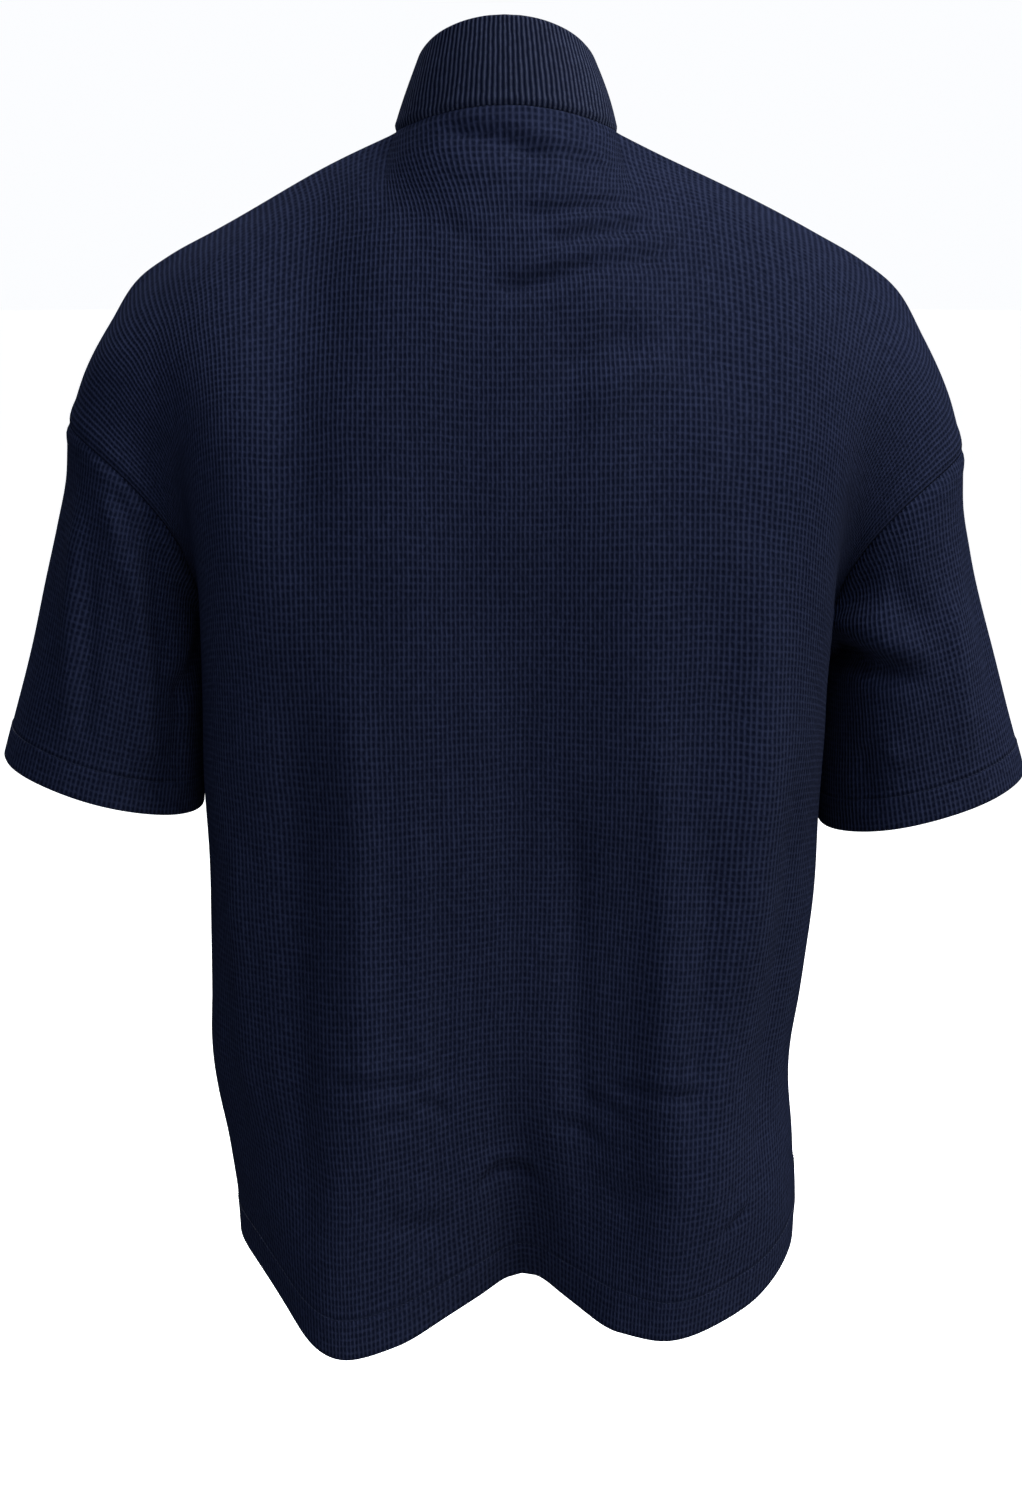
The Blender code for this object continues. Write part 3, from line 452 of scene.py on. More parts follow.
@dataclass(frozen=True)
class Worn:
    """Where the seams of the worn shirt lie, and the curves between them, in millimetres."""

    neck_u: float = 0.27
    underarm_v: float = 0.58
    neck_side: float = 71
    neck_back: Spot = (65, 15)
    neck_front: Spot = (-85, -52)
    rim_side: Spot = (56.5, 36)
    rim_back: Spot = (60, 69)
    rim_front: Spot = (-72, 8)
    tip: Spot = (295, -202)
    under: Spot = (203.5, -338)
    bulge_back: float = 72
    bulge_front: float = -70
    scoop: float = 23.5

    def neck_seam(self, turn: Points) -> Points:
        """Points of the neck seam: turn is 0 at the centre back and 1 at the centre front."""
        angle = np.pi * np.asarray(turn, float)
        y, z = np.where(angle[:, None] < np.pi / 2, self.neck_back, self.neck_front).T
        cosine = np.abs(np.cos(angle))
        return np.stack([self.neck_side * np.sin(angle), y * cosine, z * cosine**2], axis=1)

    def collar_rim(self, turn: Points) -> Points:
        """Points of the collar's top edge, turned as the neck seam turns."""
        angle = np.pi * np.asarray(turn, float)
        y, z = np.where(angle[:, None] < np.pi / 2, self.rim_back, self.rim_front).T
        cosine = np.abs(np.cos(angle))
        side_x, side_z = self.rim_side
        return np.stack([side_x * np.sin(angle), y * cosine, side_z + (z - side_z) * cosine], axis=1)

    def shoulder_line(self, share: Points) -> Points:
        """Points of the shoulder seam at shares of its length from the neck."""
        line = np.array(SHOULDER, float)
        along = steps_of(line)
        x, z = curve(along / along[-1], line, share).T
        return np.stack([x, np.zeros_like(x), z], axis=1)

    def armhole(self, share: Points, bulge: float) -> Points:
        """Points of half the armhole seam, from the underarm at 0 to the shoulder tip at 1."""
        tip, under = np.array(self.tip, float), np.array(self.under, float)
        reach = tip - under
        inwards = np.array([-reach[1], reach[0]]) / np.linalg.norm(reach)
        rise = (1 - np.cos(np.linspace(0, np.pi, 97))) / 2
        x, z = (under + rise[:, None] * reach + self.scoop * 4 * (rise * (1 - rise))[:, None] * inwards).T
        swell = rise * np.sqrt(1 - rise)
        line = np.stack([x, bulge * swell / swell.max(), z], axis=1)
        along = steps_of(line)
        return on_line(share, along / along[-1], line)

    def panel_edge(self, v: Points, bulge: float) -> Points:
        """Points of a panel's side edge: the side seam, then the armhole."""
        seam = np.array(SIDE_SEAM, float)
        low = curve(seam[:, 0], seam[:, 1:], v)
        high = self.armhole(np.clip((v - self.underarm_v) / (1 - self.underarm_v), 0, 1), bulge)
        return np.where((v < self.underarm_v)[:, None], low, high)

    def panel_top(self, u: Points, front: bool) -> Points:
        """Points of a panel's top edge: half the neck seam, then the shoulder seam."""
        turn = np.clip(u / self.neck_u, 0, 1) / 2
        neck = self.neck_seam(1 - turn if front else turn)
        shoulder = self.shoulder_line(np.clip((u - self.neck_u) / (1 - self.neck_u), 0, 1))
        return np.where((u < self.neck_u)[:, None], neck, shoulder)

    def half_panel(self, sections: Sequence[Section], u: Points, v: Points, front: bool) -> Points:
        """Lays out the left half of a panel.

        Args:
            sections: The panel's table of sections.
            u: Shares of the half width, from the centre line.
            v: Shares of the length, from the hem.
            front: True for the front panel.

        Returns:
            Points indexed [row, column].
        """
        bulge = self.bulge_front if front else self.bulge_back
        knots = [row.v for row in sections] + [1.0]
        tops = self.panel_top(np.array(list(RIB_U.values())), front)
        ribs = [
            curve(knots, np.array([getattr(row, rib) for row in sections] + [top]), v)
            for rib, top in zip(RIB_U, tops)
        ]
        columns = np.stack([ribs[1] * (-1, 1, 1), *ribs, self.panel_edge(v, bulge)])
        places = [-self.neck_u, *RIB_U.values(), 1.0]
        grid = curve(places, columns, u).transpose(1, 0, 2)
        wanted, drawn = self.panel_top(u, front), curve(places, columns[:, -1], u)
        return grid + ease((v - 0.90) / 0.10)[:, None, None] * (wanted - drawn)[None]

    def hang(self, points: Points) -> Points:
        """Moves points of a mirror-image shirt to where the worn one has them."""
        table = np.array(HANG, float)
        shape = points.shape
        points = points.reshape(-1, 3)
        centre, middle, side, lift = curve(table[:, 0], table[:, 1:], points[:, 2]).T
        out = np.abs(points[:, 0])
        past_middle = ease((out - 100) / 80)
        shift = centre + (middle - centre) * ease(out / 100) + (side - middle) * past_middle
        raised = lift * ease((points[:, 0] - 140) / 80)
        return (points + np.stack([shift, np.zeros_like(shift), raised], axis=1)).reshape(shape)


# ---------------------------------------------------------------- shader boards
def operator(operation: str, swapped: bool = False) -> Callable[[Wire, Term], Wire]:
    """Makes an operator of Wire from an operation of the Math node.

    Args:
        operation: The Math node's operation.
        swapped: True where the wire is the second term.

    Returns:
        The operator, to be kept as a method of Wire.
    """

    def apply(wire: Wire, other: Term) -> Wire:
        """Joins the wire and the other term."""
        return wire.board.math(operation, *((other, wire) if swapped else (wire, other)))

    return apply


class Wire:
    """A shader socket that can stand in a Python sum."""

    def __init__(self, board: Board, socket: bpy.types.NodeSocket) -> None:
        """Keeps the socket and the board it is on."""
        self.board = board
        self.socket = socket

    __add__ = __radd__ = operator("ADD")
    __sub__ = operator("SUBTRACT")
    __rsub__ = operator("SUBTRACT", swapped=True)
    __mul__ = __rmul__ = operator("MULTIPLY")
    __truediv__ = operator("DIVIDE")
    __pow__ = operator("POWER")

    def crest(self) -> Wire:
        """1 where this is a whole number, and 0 half way between."""
        return 0.5 + 0.5 * self.board.math("COSINE", self * (2 * np.pi))

    def bell(self, middle: float, width: float) -> Wire:
        """1 where this is at the middle, falling away over the width."""
        off = (self - middle) / width
        return self.board.math("EXPONENT", -1 * (off * off))


Term = Wire | float


class Board:
    """The node board of one material."""

    def __init__(self, name: str) -> None:
        """Makes an empty material with a Principled shader."""
        self.material = bpy.data.materials.new(name)
        self.material.use_nodes = True
        self.tree = self.material.node_tree
        self.tree.nodes.clear()
        self.shader = self.add("ShaderNodeBsdfPrincipled")
        surface = Wire(self, self.shader.outputs["BSDF"])
        self.add("ShaderNodeOutputMaterial", sockets={"Surface": surface})

    def add(
        self,
        kind: str,
        settings: Mapping[str, object] | None = None,
        sockets: Mapping[str | int, object] | None = None,
    ) -> bpy.types.Node:
        """Adds a node.

        Args:
            kind: The node's type.
            settings: The node's own settings, set first.
            sockets: Values or wires for its input sockets, by name or number.

        Returns:
            The new node.
        """
        node = self.tree.nodes.new(kind)
        for key, value in (settings or {}).items():
            setattr(node, key, value)
        for key, value in (sockets or {}).items():
            self.feed(node, key, value)
        return node

    def feed(self, node: bpy.types.Node, key: str | int, value: object) -> None:
        """Gives one input socket of a node its value or wire."""
        if isinstance(value, Wire):
            self.tree.links.new(value.socket, node.inputs[key])
        else:
            node.inputs[key].default_value = value

    def wire(
        self,
        kind: str,
        settings: Mapping[str, object] | None = None,
        sockets: Mapping[str | int, object] | None = None,
        output: str | int = 0,
    ) -> Wire:
        """Adds a node as add does, and returns one of its outputs."""
        return Wire(self, self.add(kind, settings, sockets).outputs[output])

    def math(self, operation: str, *terms: Term) -> Wire:
        """Adds a Math node over one or more terms."""
        return self.wire("ShaderNodeMath", {"operation": operation}, dict(enumerate(terms)))

    def noise(self, at: Wire, scale: float, detail: float = 2.0) -> Wire:
        """Smooth noise from 0 to 1."""
        sockets = {"Vector": at, "Scale": scale, "Detail": detail}
        return self.wire("ShaderNodeTexNoise", {}, sockets, "Fac")

    def place(self) -> Wire:
        """The place on the object, in metres."""
        return self.wire("ShaderNodeTexCoord", {}, {}, "Object")

    def bump(self, height: Wire, strength: float, distance: float) -> Wire:
        """Raises the surface by a height, at most by the distance in metres."""
        sockets = {"Height": height, "Strength": strength, "Distance": distance}
        return self.wire("ShaderNodeBump", {}, sockets)

    def mix(self, share: Term, first: Wire | Colour, second: Wire | Colour) -> Wire:
        """Mixes two colours, all the first at 0 and all the second at 1."""
        ends = [end if isinstance(end, Wire) else (*end, 1.0) for end in (first, second)]
        return self.wire("ShaderNodeMix", {"data_type": "RGBA"}, {0: share, 6: ends[0], 7: ends[1]}, 2)

    def tone(self, colour: Wire, strength: Wire) -> Wire:
        """Makes a colour lighter or darker by a value."""
        settings = {"data_type": "RGBA", "blend_type": "MULTIPLY"}
        return self.wire("ShaderNodeMix", settings, {0: 1.0, 6: colour, 7: strength}, 2)

    def finish(self, **sockets: object) -> bpy.types.Material:
        """Feeds the Principled shader's sockets, named with underscores, and returns the material."""
        for key, value in sockets.items():
            self.feed(self.shader, key.replace("_", " "), value)
        return self.material


# ---------------------------------------------------------------- finishes
class Knit(Enum):
    """The ways in which the cloth is knitted."""

    WAFFLE = "waffle"
    RIB = "rib"


@dataclass(frozen=True)
class KnitFinish:
    """Navy knit with raised ribs, and for waffle knit the rungs and pits between them, with painted shade
    in the pits.
    """

    name: str
    knit: Knit = Knit.WAFFLE
    rib_light: Colour = (0.0132, 0.0166, 0.0345)
    # Colour of the pits: painted shade, darker than the ribs, for the shade that the bump relief cannot
    # cast.
    pit_painted_shade: Colour = (0.0036, 0.0050, 0.0125)
    rib_pitch: float = 3.35 * MM
    rung_pitch: float = 4.25 * MM
    rung_share: float = 0.5
    relief: float = 0.9 * MM
    stitched_at: float | None = None

    def make(self) -> bpy.types.Material:
        """Builds the material from the cloth's own cut coordinates."""
        board = Board(self.name)
        cut = board.wire("ShaderNodeUVMap", {"uv_map": "Cut"})
        x, y = (board.wire("ShaderNodeSeparateXYZ", {}, {0: cut}, axis) for axis in ("X", "Y"))
        drift = board.noise(cut, 24.0) - 0.5
        wobble = board.noise(cut, 160.0) - 0.5
        across = x / self.rib_pitch + drift * 0.5 + wobble * 0.28
        up = y / self.rung_pitch + drift * 0.9 + wobble * 0.40
        rib = across.crest()
        rung = up.crest()
        fuzz = board.noise(cut, 2600.0, 3.0)
        raised = rib**1.25
        if self.knit is Knit.WAFFLE:
            raised = 1 - (1 - raised) * (1 - rung**2.0 * self.rung_share)
        loops = board.wire("ShaderNodeCombineXYZ", {}, {
            0: board.math("ROUND", across), 1: board.math("ROUND", up * 2)})
        loop_tone = board.wire(
            "ShaderNodeTexWhiteNoise", {"noise_dimensions": "2D"}, {"Vector": loops}, "Value")
        patch = board.noise(cut, 7.0)
        # Painted shade: the colour darkens from the raised ribs and rungs into the pits.
        colour = board.mix(raised, self.pit_painted_shade, self.rib_light)
        colour = board.tone(colour, 0.42 + 0.24 * patch + 0.34 * loop_tone + 0.80 * fuzz)
        height = raised + fuzz * 0.16 + loop_tone * 0.06
        if self.stitched_at is not None:
            height = height - y.bell(self.stitched_at, 1.3 * MM) * 1.1
            height = height + y.bell(self.stitched_at + 2.6 * MM, 1.6 * MM) * 0.35
        bump = board.bump(height, 0.85, self.relief)
        return board.finish(
            Base_Color=colour, Roughness=0.94 - raised * 0.10, Normal=bump,
            Specular_IOR_Level=0.0, Sheen_Weight=0.008, Sheen_Roughness=0.5,
            Sheen_Tint=(0.55, 0.65, 1.0, 1.0),
        )


@dataclass(frozen=True)
class ThreadFinish:
    """Twisted sewing thread."""

    name: str
    colour: Colour = (0.0125, 0.0170, 0.0380)

    def make(self) -> bpy.types.Material:
        """Builds the material, with its twist across the thread."""
        board = Board(self.name)
        at = board.place()
        strands = board.noise(at, 2400.0, 2.0)
        dark = tuple(part * 0.45 for part in self.colour)
        colour = board.mix(strands, dark, self.colour)
        bump = board.bump(strands, 0.5, 0.2 * MM)
        return board.finish(
            Base_Color=colour, Roughness=0.70, Normal=bump, Specular_IOR_Level=0.06)


@dataclass(frozen=True)
class TapeFinish:
    """Zip tape in a fine twill."""

    name: str
    light: Colour = (0.013, 0.017, 0.034)
    dark: Colour = (0.0035, 0.005, 0.012)
    pitch: float = 0.85 * MM

    def make(self) -> bpy.types.Material:
        """Builds the material, with its twill slanting up the tape."""
        board = Board(self.name)
        at = board.place()
        x, z = (board.wire("ShaderNodeSeparateXYZ", {}, {0: at}, axis) for axis in ("X", "Z"))
        twill = (x / self.pitch + z / (self.pitch * 1.5)).crest()
        weft = (z / (self.pitch * 0.6)).crest()
        woven = twill * (0.7 + 0.3 * weft)
        colour = board.mix(woven, self.dark, self.light)
        bump = board.bump(woven, 0.7, 0.25 * MM)
        return board.finish(
            Base_Color=colour, Roughness=0.86 - woven * 0.1, Normal=bump, Specular_IOR_Level=0.25)


@dataclass(frozen=True)
class MetalFinish:
    """Dark plated metal, brushed and a little worn."""

    name: str
    colour: Colour = (0.060, 0.063, 0.072)
    worn: Colour = (0.220, 0.220, 0.230)

    def make(self) -> bpy.types.Material:
        """Builds the material, with fine brushing and handling marks."""
        board = Board(self.name)
        at = board.place()
        stretched = board.wire(
            "ShaderNodeVectorMath", {"operation": "MULTIPLY"}, {0: at, 1: (9.0, 1.0, 0.6)})
        brushing = board.noise(stretched, 900.0, 2.0)
        marks = board.noise(at, 420.0, 3.0) ** 5.0
        colour = board.mix(marks * 2.2 + brushing * 0.12, self.colour, self.worn)
        bump = board.bump(brushing, 0.12, 0.05 * MM)
        return board.finish(
            Base_Color=colour, Metallic=1.0, Roughness=0.27 + brushing * 0.14 + marks * 0.3, Normal=bump)


@dataclass(frozen=True)
class ToothFinish:
    """Moulded zip teeth in a dark navy resin."""

    name: str
    colour: Colour = (0.010, 0.013, 0.026)

    def make(self) -> bpy.types.Material:
        """Builds the material, faintly uneven from the mould."""
        board = Board(self.name)
        at = board.place()
        grain = board.noise(at, 1300.0, 2.0)
        light = tuple(part * 1.8 for part in self.colour)
        colour = board.mix(grain, self.colour, light)
        bump = board.bump(grain, 0.15, 0.08 * MM)
        return board.finish(
            Base_Color=colour, Roughness=0.48 + grain * 0.12, Normal=bump, Specular_IOR_Level=0.2)


@dataclass(frozen=True)
class FloorFinish:
    """Pale matt paper that glows as the sky does, which leaves only a faint edge between them."""

    name: str
    glow: Colour
    glow_strength: float
    colour: Colour = (0.86, 0.86, 0.865)

    def make(self) -> bpy.types.Material:
        """Builds the material, with a hardly visible tooth."""
        board = Board(self.name)
        at = board.place()
        grain = board.noise(at, 140.0, 3.0)
        low = tuple(part * 0.985 for part in self.colour)
        colour = board.mix(grain, low, self.colour)
        return board.finish(
            Base_Color=colour, Roughness=0.95, Specular_IOR_Level=0.1,
            Emission_Color=(*self.glow, 1.0), Emission_Strength=self.glow_strength,
        )


# ---------------------------------------------------------------- sheets of cloth
@dataclass
class Sheet:
    """One piece of cloth: a grid of points down its middle, and its place on the flat cut."""

    name: str
    middle: Points
    cut: Points
    thickness: Points
    sunk: Points
    closed: bool = False
    turned: bool = False
    slit: frozenset[tuple[int, int]] = frozenset()
    normals: Points = field(default_factory=lambda: np.zeros(0))

    OUTSIDE = (0.010, 0.085, 0.800, 0.990)
    INSIDE = (0.815, 0.085, 0.990, 0.990)
    EDGES = (0.010, 0.010, 0.990, 0.070)
    EDGE_ROWS = 12

    def corners(self) -> Points:
        """The (row, column) of each face's four corners, [face, corner, 2]."""
        rows, columns = self.middle.shape[:2]
        last = columns if self.closed else columns - 1
        cells = [
            (row, column) for row in range(rows - 1) for column in range(last)
            if (row, column) not in self.slit
        ]
        cells = np.array(cells)[:, None]
        order = [(0, 0), (0, 1), (1, 1), (1, 0)]
        return cells + np.array(order[::-1] if self.turned else order)[None]

    def number(self, places: Points) -> Points:
        """The point numbers of (row, column) places."""
        columns = self.middle.shape[1]
        return places[..., 0] * columns + places[..., 1] % columns

    def open_edges(self, corners: Points) -> tuple[Points, Points]:
        """The (row, column) starts and ends of the directed edges that only one face uses."""
        starts = corners.reshape(-1, 2)
        ends = np.roll(corners, -1, axis=1).reshape(-1, 2)
        first, second = self.number(starts), self.number(ends)
        count = self.middle[..., 0].size
        lone = ~np.isin(second * count + first, first * count + second)
        return starts[lone], ends[lone]

    def box_share(self, places: Points, box: tuple[float, float, float, float]) -> Points:
        """Where (row, column) places go in a box of the bake map."""
        low = self.cut.reshape(-1, 2).min(axis=0)
        high = self.cut.reshape(-1, 2).max(axis=0)
        share = (self.cut[places[..., 0], places[..., 1]] - low) / (high - low)
        return np.array(box[:2]) + share * (np.array(box[2:]) - box[:2])

    def edge_boxes(self, count: int) -> Points:
        """Bake-map corners of the narrow faces along the open edges, [face, corner, 2]."""
        per_row = -(-count // self.EDGE_ROWS)
        low, high = np.array(self.EDGES[:2]), np.array(self.EDGES[2:])
        size = (high - low) / (per_row, self.EDGE_ROWS)
        number = np.arange(count)
        corner = low + np.stack([number % per_row, number // per_row], axis=1) * size
        square = np.array([(0.1, 0.1), (0.9, 0.1), (0.9, 0.9), (0.1, 0.9)])
        return corner[:, None] + square[None] * size

    def skins(self) -> tuple[Points, Points]:
        """The outer and the inner points of the shell, in millimetres, pulled back from the seams."""
        middle = self.middle.reshape(-1, 3)
        start, end = (self.number(places) for places in self.open_edges(self.corners()))
        along = unit(middle[end] - middle[start])
        pull = np.zeros_like(middle)
        for corner in (start, end):
            np.add.at(pull, corner, np.cross(self.normals[corner], along))
        pull = unit(pull) * CUT.seam_inset
        half, sunk = self.thickness.reshape(-1, 1) / 2, self.sunk.reshape(-1, 1)
        moved = middle + pull
        return moved + self.normals * (half - sunk), moved - self.normals * (half + sunk)

    def build(self, material: bpy.types.Material) -> bpy.types.Object:
        """Makes the closed thin shell of this sheet.

        Args:
            material: The cloth's finish.

        Returns:
            The new object, with a bake map and a map of the flat cut in metres.
        """
        corners = self.corners()
        outer, inner = self.skins()
        count = len(outer)
        starts, ends = self.open_edges(corners)
        first, second = self.number(starts), self.number(ends)
        skin = self.number(corners)
        edge = np.stack([second, first, first + count, second + count], axis=1)
        faces = np.concatenate([skin, skin[:, ::-1] + count, edge])
        edge_places = np.stack([ends, starts, starts, ends], axis=1)
        places = np.concatenate([corners, corners[:, ::-1], edge_places])
        bake = np.concatenate([
            self.box_share(corners, self.OUTSIDE), self.box_share(corners[:, ::-1], self.INSIDE),
            self.edge_boxes(len(edge))])
        made = mesh_object(self.name, np.concatenate([outer, inner]), faces, material)
        for title, spots in (("OFBake", bake), ("Cut", self.cut[places[..., 0], places[..., 1]] * MM)):
            layer = made.data.uv_layers.new(name=title)
            layer.data.foreach_set("uv", spots.reshape(-1))
        return made

    def along(self, across: Points, up: Points) -> tuple[Points, Points]:
        """Finds places on the outer face by where they lie on the flat cut.

        Args:
            across: Distances across the cut, in millimetres.
            up: Distances up the cut, in millimetres.

        Returns:
            The points and the cloth's normals there.
        """
        outer = self.skins()[0].reshape(self.middle.shape)
        normals = self.normals.reshape(self.middle.shape)
        columns = self.middle.shape[1]
        where = np.interp(across, self.cut[0, :, 0], np.arange(self.cut.shape[1]))
        points, facing = [], []
        for column, height in zip(where, up):
            left = int(min(column, self.cut.shape[1] - 2))
            share = column - left
            levels = self.cut[:, left, 1] * (1 - share) + self.cut[:, left + 1, 1] * share
            order = np.arange(len(levels))
            rising = levels[-1] > levels[0]
            row = np.interp(height, levels if rising else levels[::-1], order if rising else order[::-1])
            low = int(min(row, len(levels) - 2))
            part = row - low
            for source, target in ((outer, points), (normals, facing)):
                pair = source[low:low + 2, [left % columns, (left + 1) % columns]]
                across_rows = pair[:, 0] * (1 - share) + pair[:, 1] * share
                target.append(across_rows[0] * (1 - part) + across_rows[1] * part)
        return np.array(points), unit(np.array(facing))


def mesh_object(
    name: str, points: Points, faces: Sequence[Sequence[int]] | Points, material: bpy.types.Material
) -> bpy.types.Object:
    """Makes a smooth-shaded object.

    Args:
        name: The object's name.
        points: Its points in millimetres.
        faces: The point numbers of each face.
        material: Its finish.

    Returns:
        The new object, linked to the scene.
    """
    mesh = bpy.data.meshes.new(name)
    mesh.from_pydata((points * MM).tolist(), [], faces.tolist() if isinstance(faces, np.ndarray) else faces)
    mesh.materials.append(material)
    mesh.shade_smooth()
    made = bpy.data.objects.new(name, mesh)
    bpy.context.scene.collection.objects.link(made)
    log.info("%s: %d faces", name, len(mesh.polygons))
    return made


def share_normals(sheets: Sequence[Sheet]) -> None:
    """Gives each point of each sheet a normal, the same where sheets meet at a seam.

    Args:
        sheets: All the sheets that are sewn to each other.
    """
    counts = [sheet.middle[..., 0].size for sheet in sheets]
    points = np.concatenate([sheet.middle.reshape(-1, 3) for sheet in sheets])
    starts = np.concatenate([[0], np.cumsum(counts)[:-1]])
    faces = np.concatenate([
        sheet.number(sheet.corners()) + start for sheet, start in zip(sheets, starts)])
    _, spot = np.unique(np.round(points, 3), axis=0, return_inverse=True)
    spot = spot.reshape(-1)
    total = np.zeros((spot.max() + 1, 3))
    a, b, c, d = (points[faces[:, k]] for k in range(4))
    facing = unit(np.cross(c - a, d - b))
    for k in range(4):
        here, after, before = (points[faces[:, (k + step) % 4]] for step in (0, 1, -1))
        cosine = (unit(after - here) * unit(before - here)).sum(axis=1)
        np.add.at(total, spot[faces[:, k]], facing * np.arccos(np.clip(cosine, -1, 1))[:, None])
    for sheet, normals in zip(sheets, np.split(unit(total)[spot], np.cumsum(counts)[:-1])):
        sheet.normals = normals


@dataclass(frozen=True)
class SeamDip:
    """How the cloth sinks at a seam and swells a little beside it, in millimetres."""

    depth: float = 1.2
    width: float = 2.4
    swell: float = 0.45
    swell_at: float = 7.5

    def at(self, distance: Points) -> Points:
        """How far the cloth is sunk at distances from the seam."""
        beside = bell((distance - self.swell_at) / (self.swell_at / 2))
        return self.depth * bell(distance / self.width) - self.swell * beside


@dataclass(frozen=True)
class FreeEdge:
    """How the cloth's wall rounds off at a folded edge, in millimetres."""

    radius: float = 1.5
    blunt: float = 0.30

    def at(self, distance: Points) -> Points:
        """The share of the full thickness at distances from the edge."""
        inwards = np.clip(distance / self.radius, 0, 1)
        return np.maximum(self.blunt, np.sqrt(1 - (1 - inwards) ** 2))


CUT = Cut()
WORN = Worn()
ARMHOLE_DIP = SeamDip(depth=1.2, width=2.0, swell=0.8)
PLAIN_DIP = SeamDip(depth=0.9, width=2.0, swell=0.25)
NECK_DIP = SeamDip(depth=0.6, width=1.6, swell=0.3, swell_at=5.0)
FOLD_EDGE = FreeEdge()
FOLD_SOFT = 3.0


def folded_wall(from_edge: Points, fold: float) -> Points:
    """Thickness of cloth at distances from an edge that is turned up by fold millimetres."""
    doubled = ease((fold + FOLD_SOFT / 2 - from_edge) / FOLD_SOFT)
    return (CUT.cloth + (CUT.hem_cloth - CUT.cloth) * doubled) * FOLD_EDGE.at(from_edge)


def near(at: float, spots: Sequence[float]) -> Points:
    """Marks at distances on both sides of a place."""
    spots = np.array(spots)
    return np.concatenate([at - spots[::-1], [at], at + spots])


# ---------------------------------------------------------------- sewing
@dataclass(frozen=True)
class Stitching:
    """A row of lockstitches, in millimetres."""

    length: float = 2.5
    gap: float = 0.7
    thread: float = 0.26
    stand: float = 0.22

    def build(
        self, name: str, line: Points, normals: Points, material: bpy.types.Material
    ) -> bpy.types.Object:
        """Makes the stitches of one row as a single mesh.

        Args:
            name: The object's name.
            line: Points along the row, on the face of the cloth.
            normals: The cloth's normals at those points.
            material: The thread's finish.

        Returns:
            The new object.
        """
        distance = steps_of(line)
        pitch = self.length + self.gap
        count = max(2, int(distance[-1] / pitch))
        marks = (np.arange(count) + 0.5) * distance[-1] / count
        rings = []
        for share, height, size in ((-0.5, -0.5, 0.5), (-0.28, 1, 1), (0.28, 1, 1), (0.5, -0.5, 0.5)):
            spots = np.clip(marks + share * self.length, 0, distance[-1])
            at, ahead = on_line(spots, distance, line), on_line(spots + 0.3, distance, line)
            up = unit(on_line(spots, distance, normals))
            side = unit(np.cross(up, unit(ahead - at + 1e-6)))
            centre = at + up * self.stand * height
            for angle in np.arange(4) * np.pi / 2 + np.pi / 4:
                rings.append(centre + (np.cos(angle) * side + np.sin(angle) * up) * self.thread * size)
        points = np.stack(rings, axis=1)
        one = [
            (4 * ring + k, 4 * ring + (k + 1) % 4, 4 * ring + 4 + (k + 1) % 4, 4 * ring + 4 + k)
            for ring in range(3) for k in range(4)
        ] + [(3, 2, 1, 0), (12, 13, 14, 15)]
        faces = (np.array(one)[None] + 16 * np.arange(count)[:, None, None]).reshape(-1, 4)
        return mesh_object(name, points.reshape(-1, 3), faces, material)


def sew(
    sheet: Sheet, name: str, across: Points, up: Points, material: bpy.types.Material
) -> list[bpy.types.Object]:
    """Sews a row of stitches on a sheet along a line on its flat cut.

    Args:
        sheet: The cloth to sew.
        name: The new object's name.
        across: Distances of the line across the cut, in millimetres.
        up: Distances of the line up the cut, in millimetres.
        material: The thread's finish.

    Returns:
        A list of the new object alone, riding with the shirt.
    """
    row = Stitching().build(name, *sheet.along(across, up), material)
    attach(row, "shirt")
    return [row]


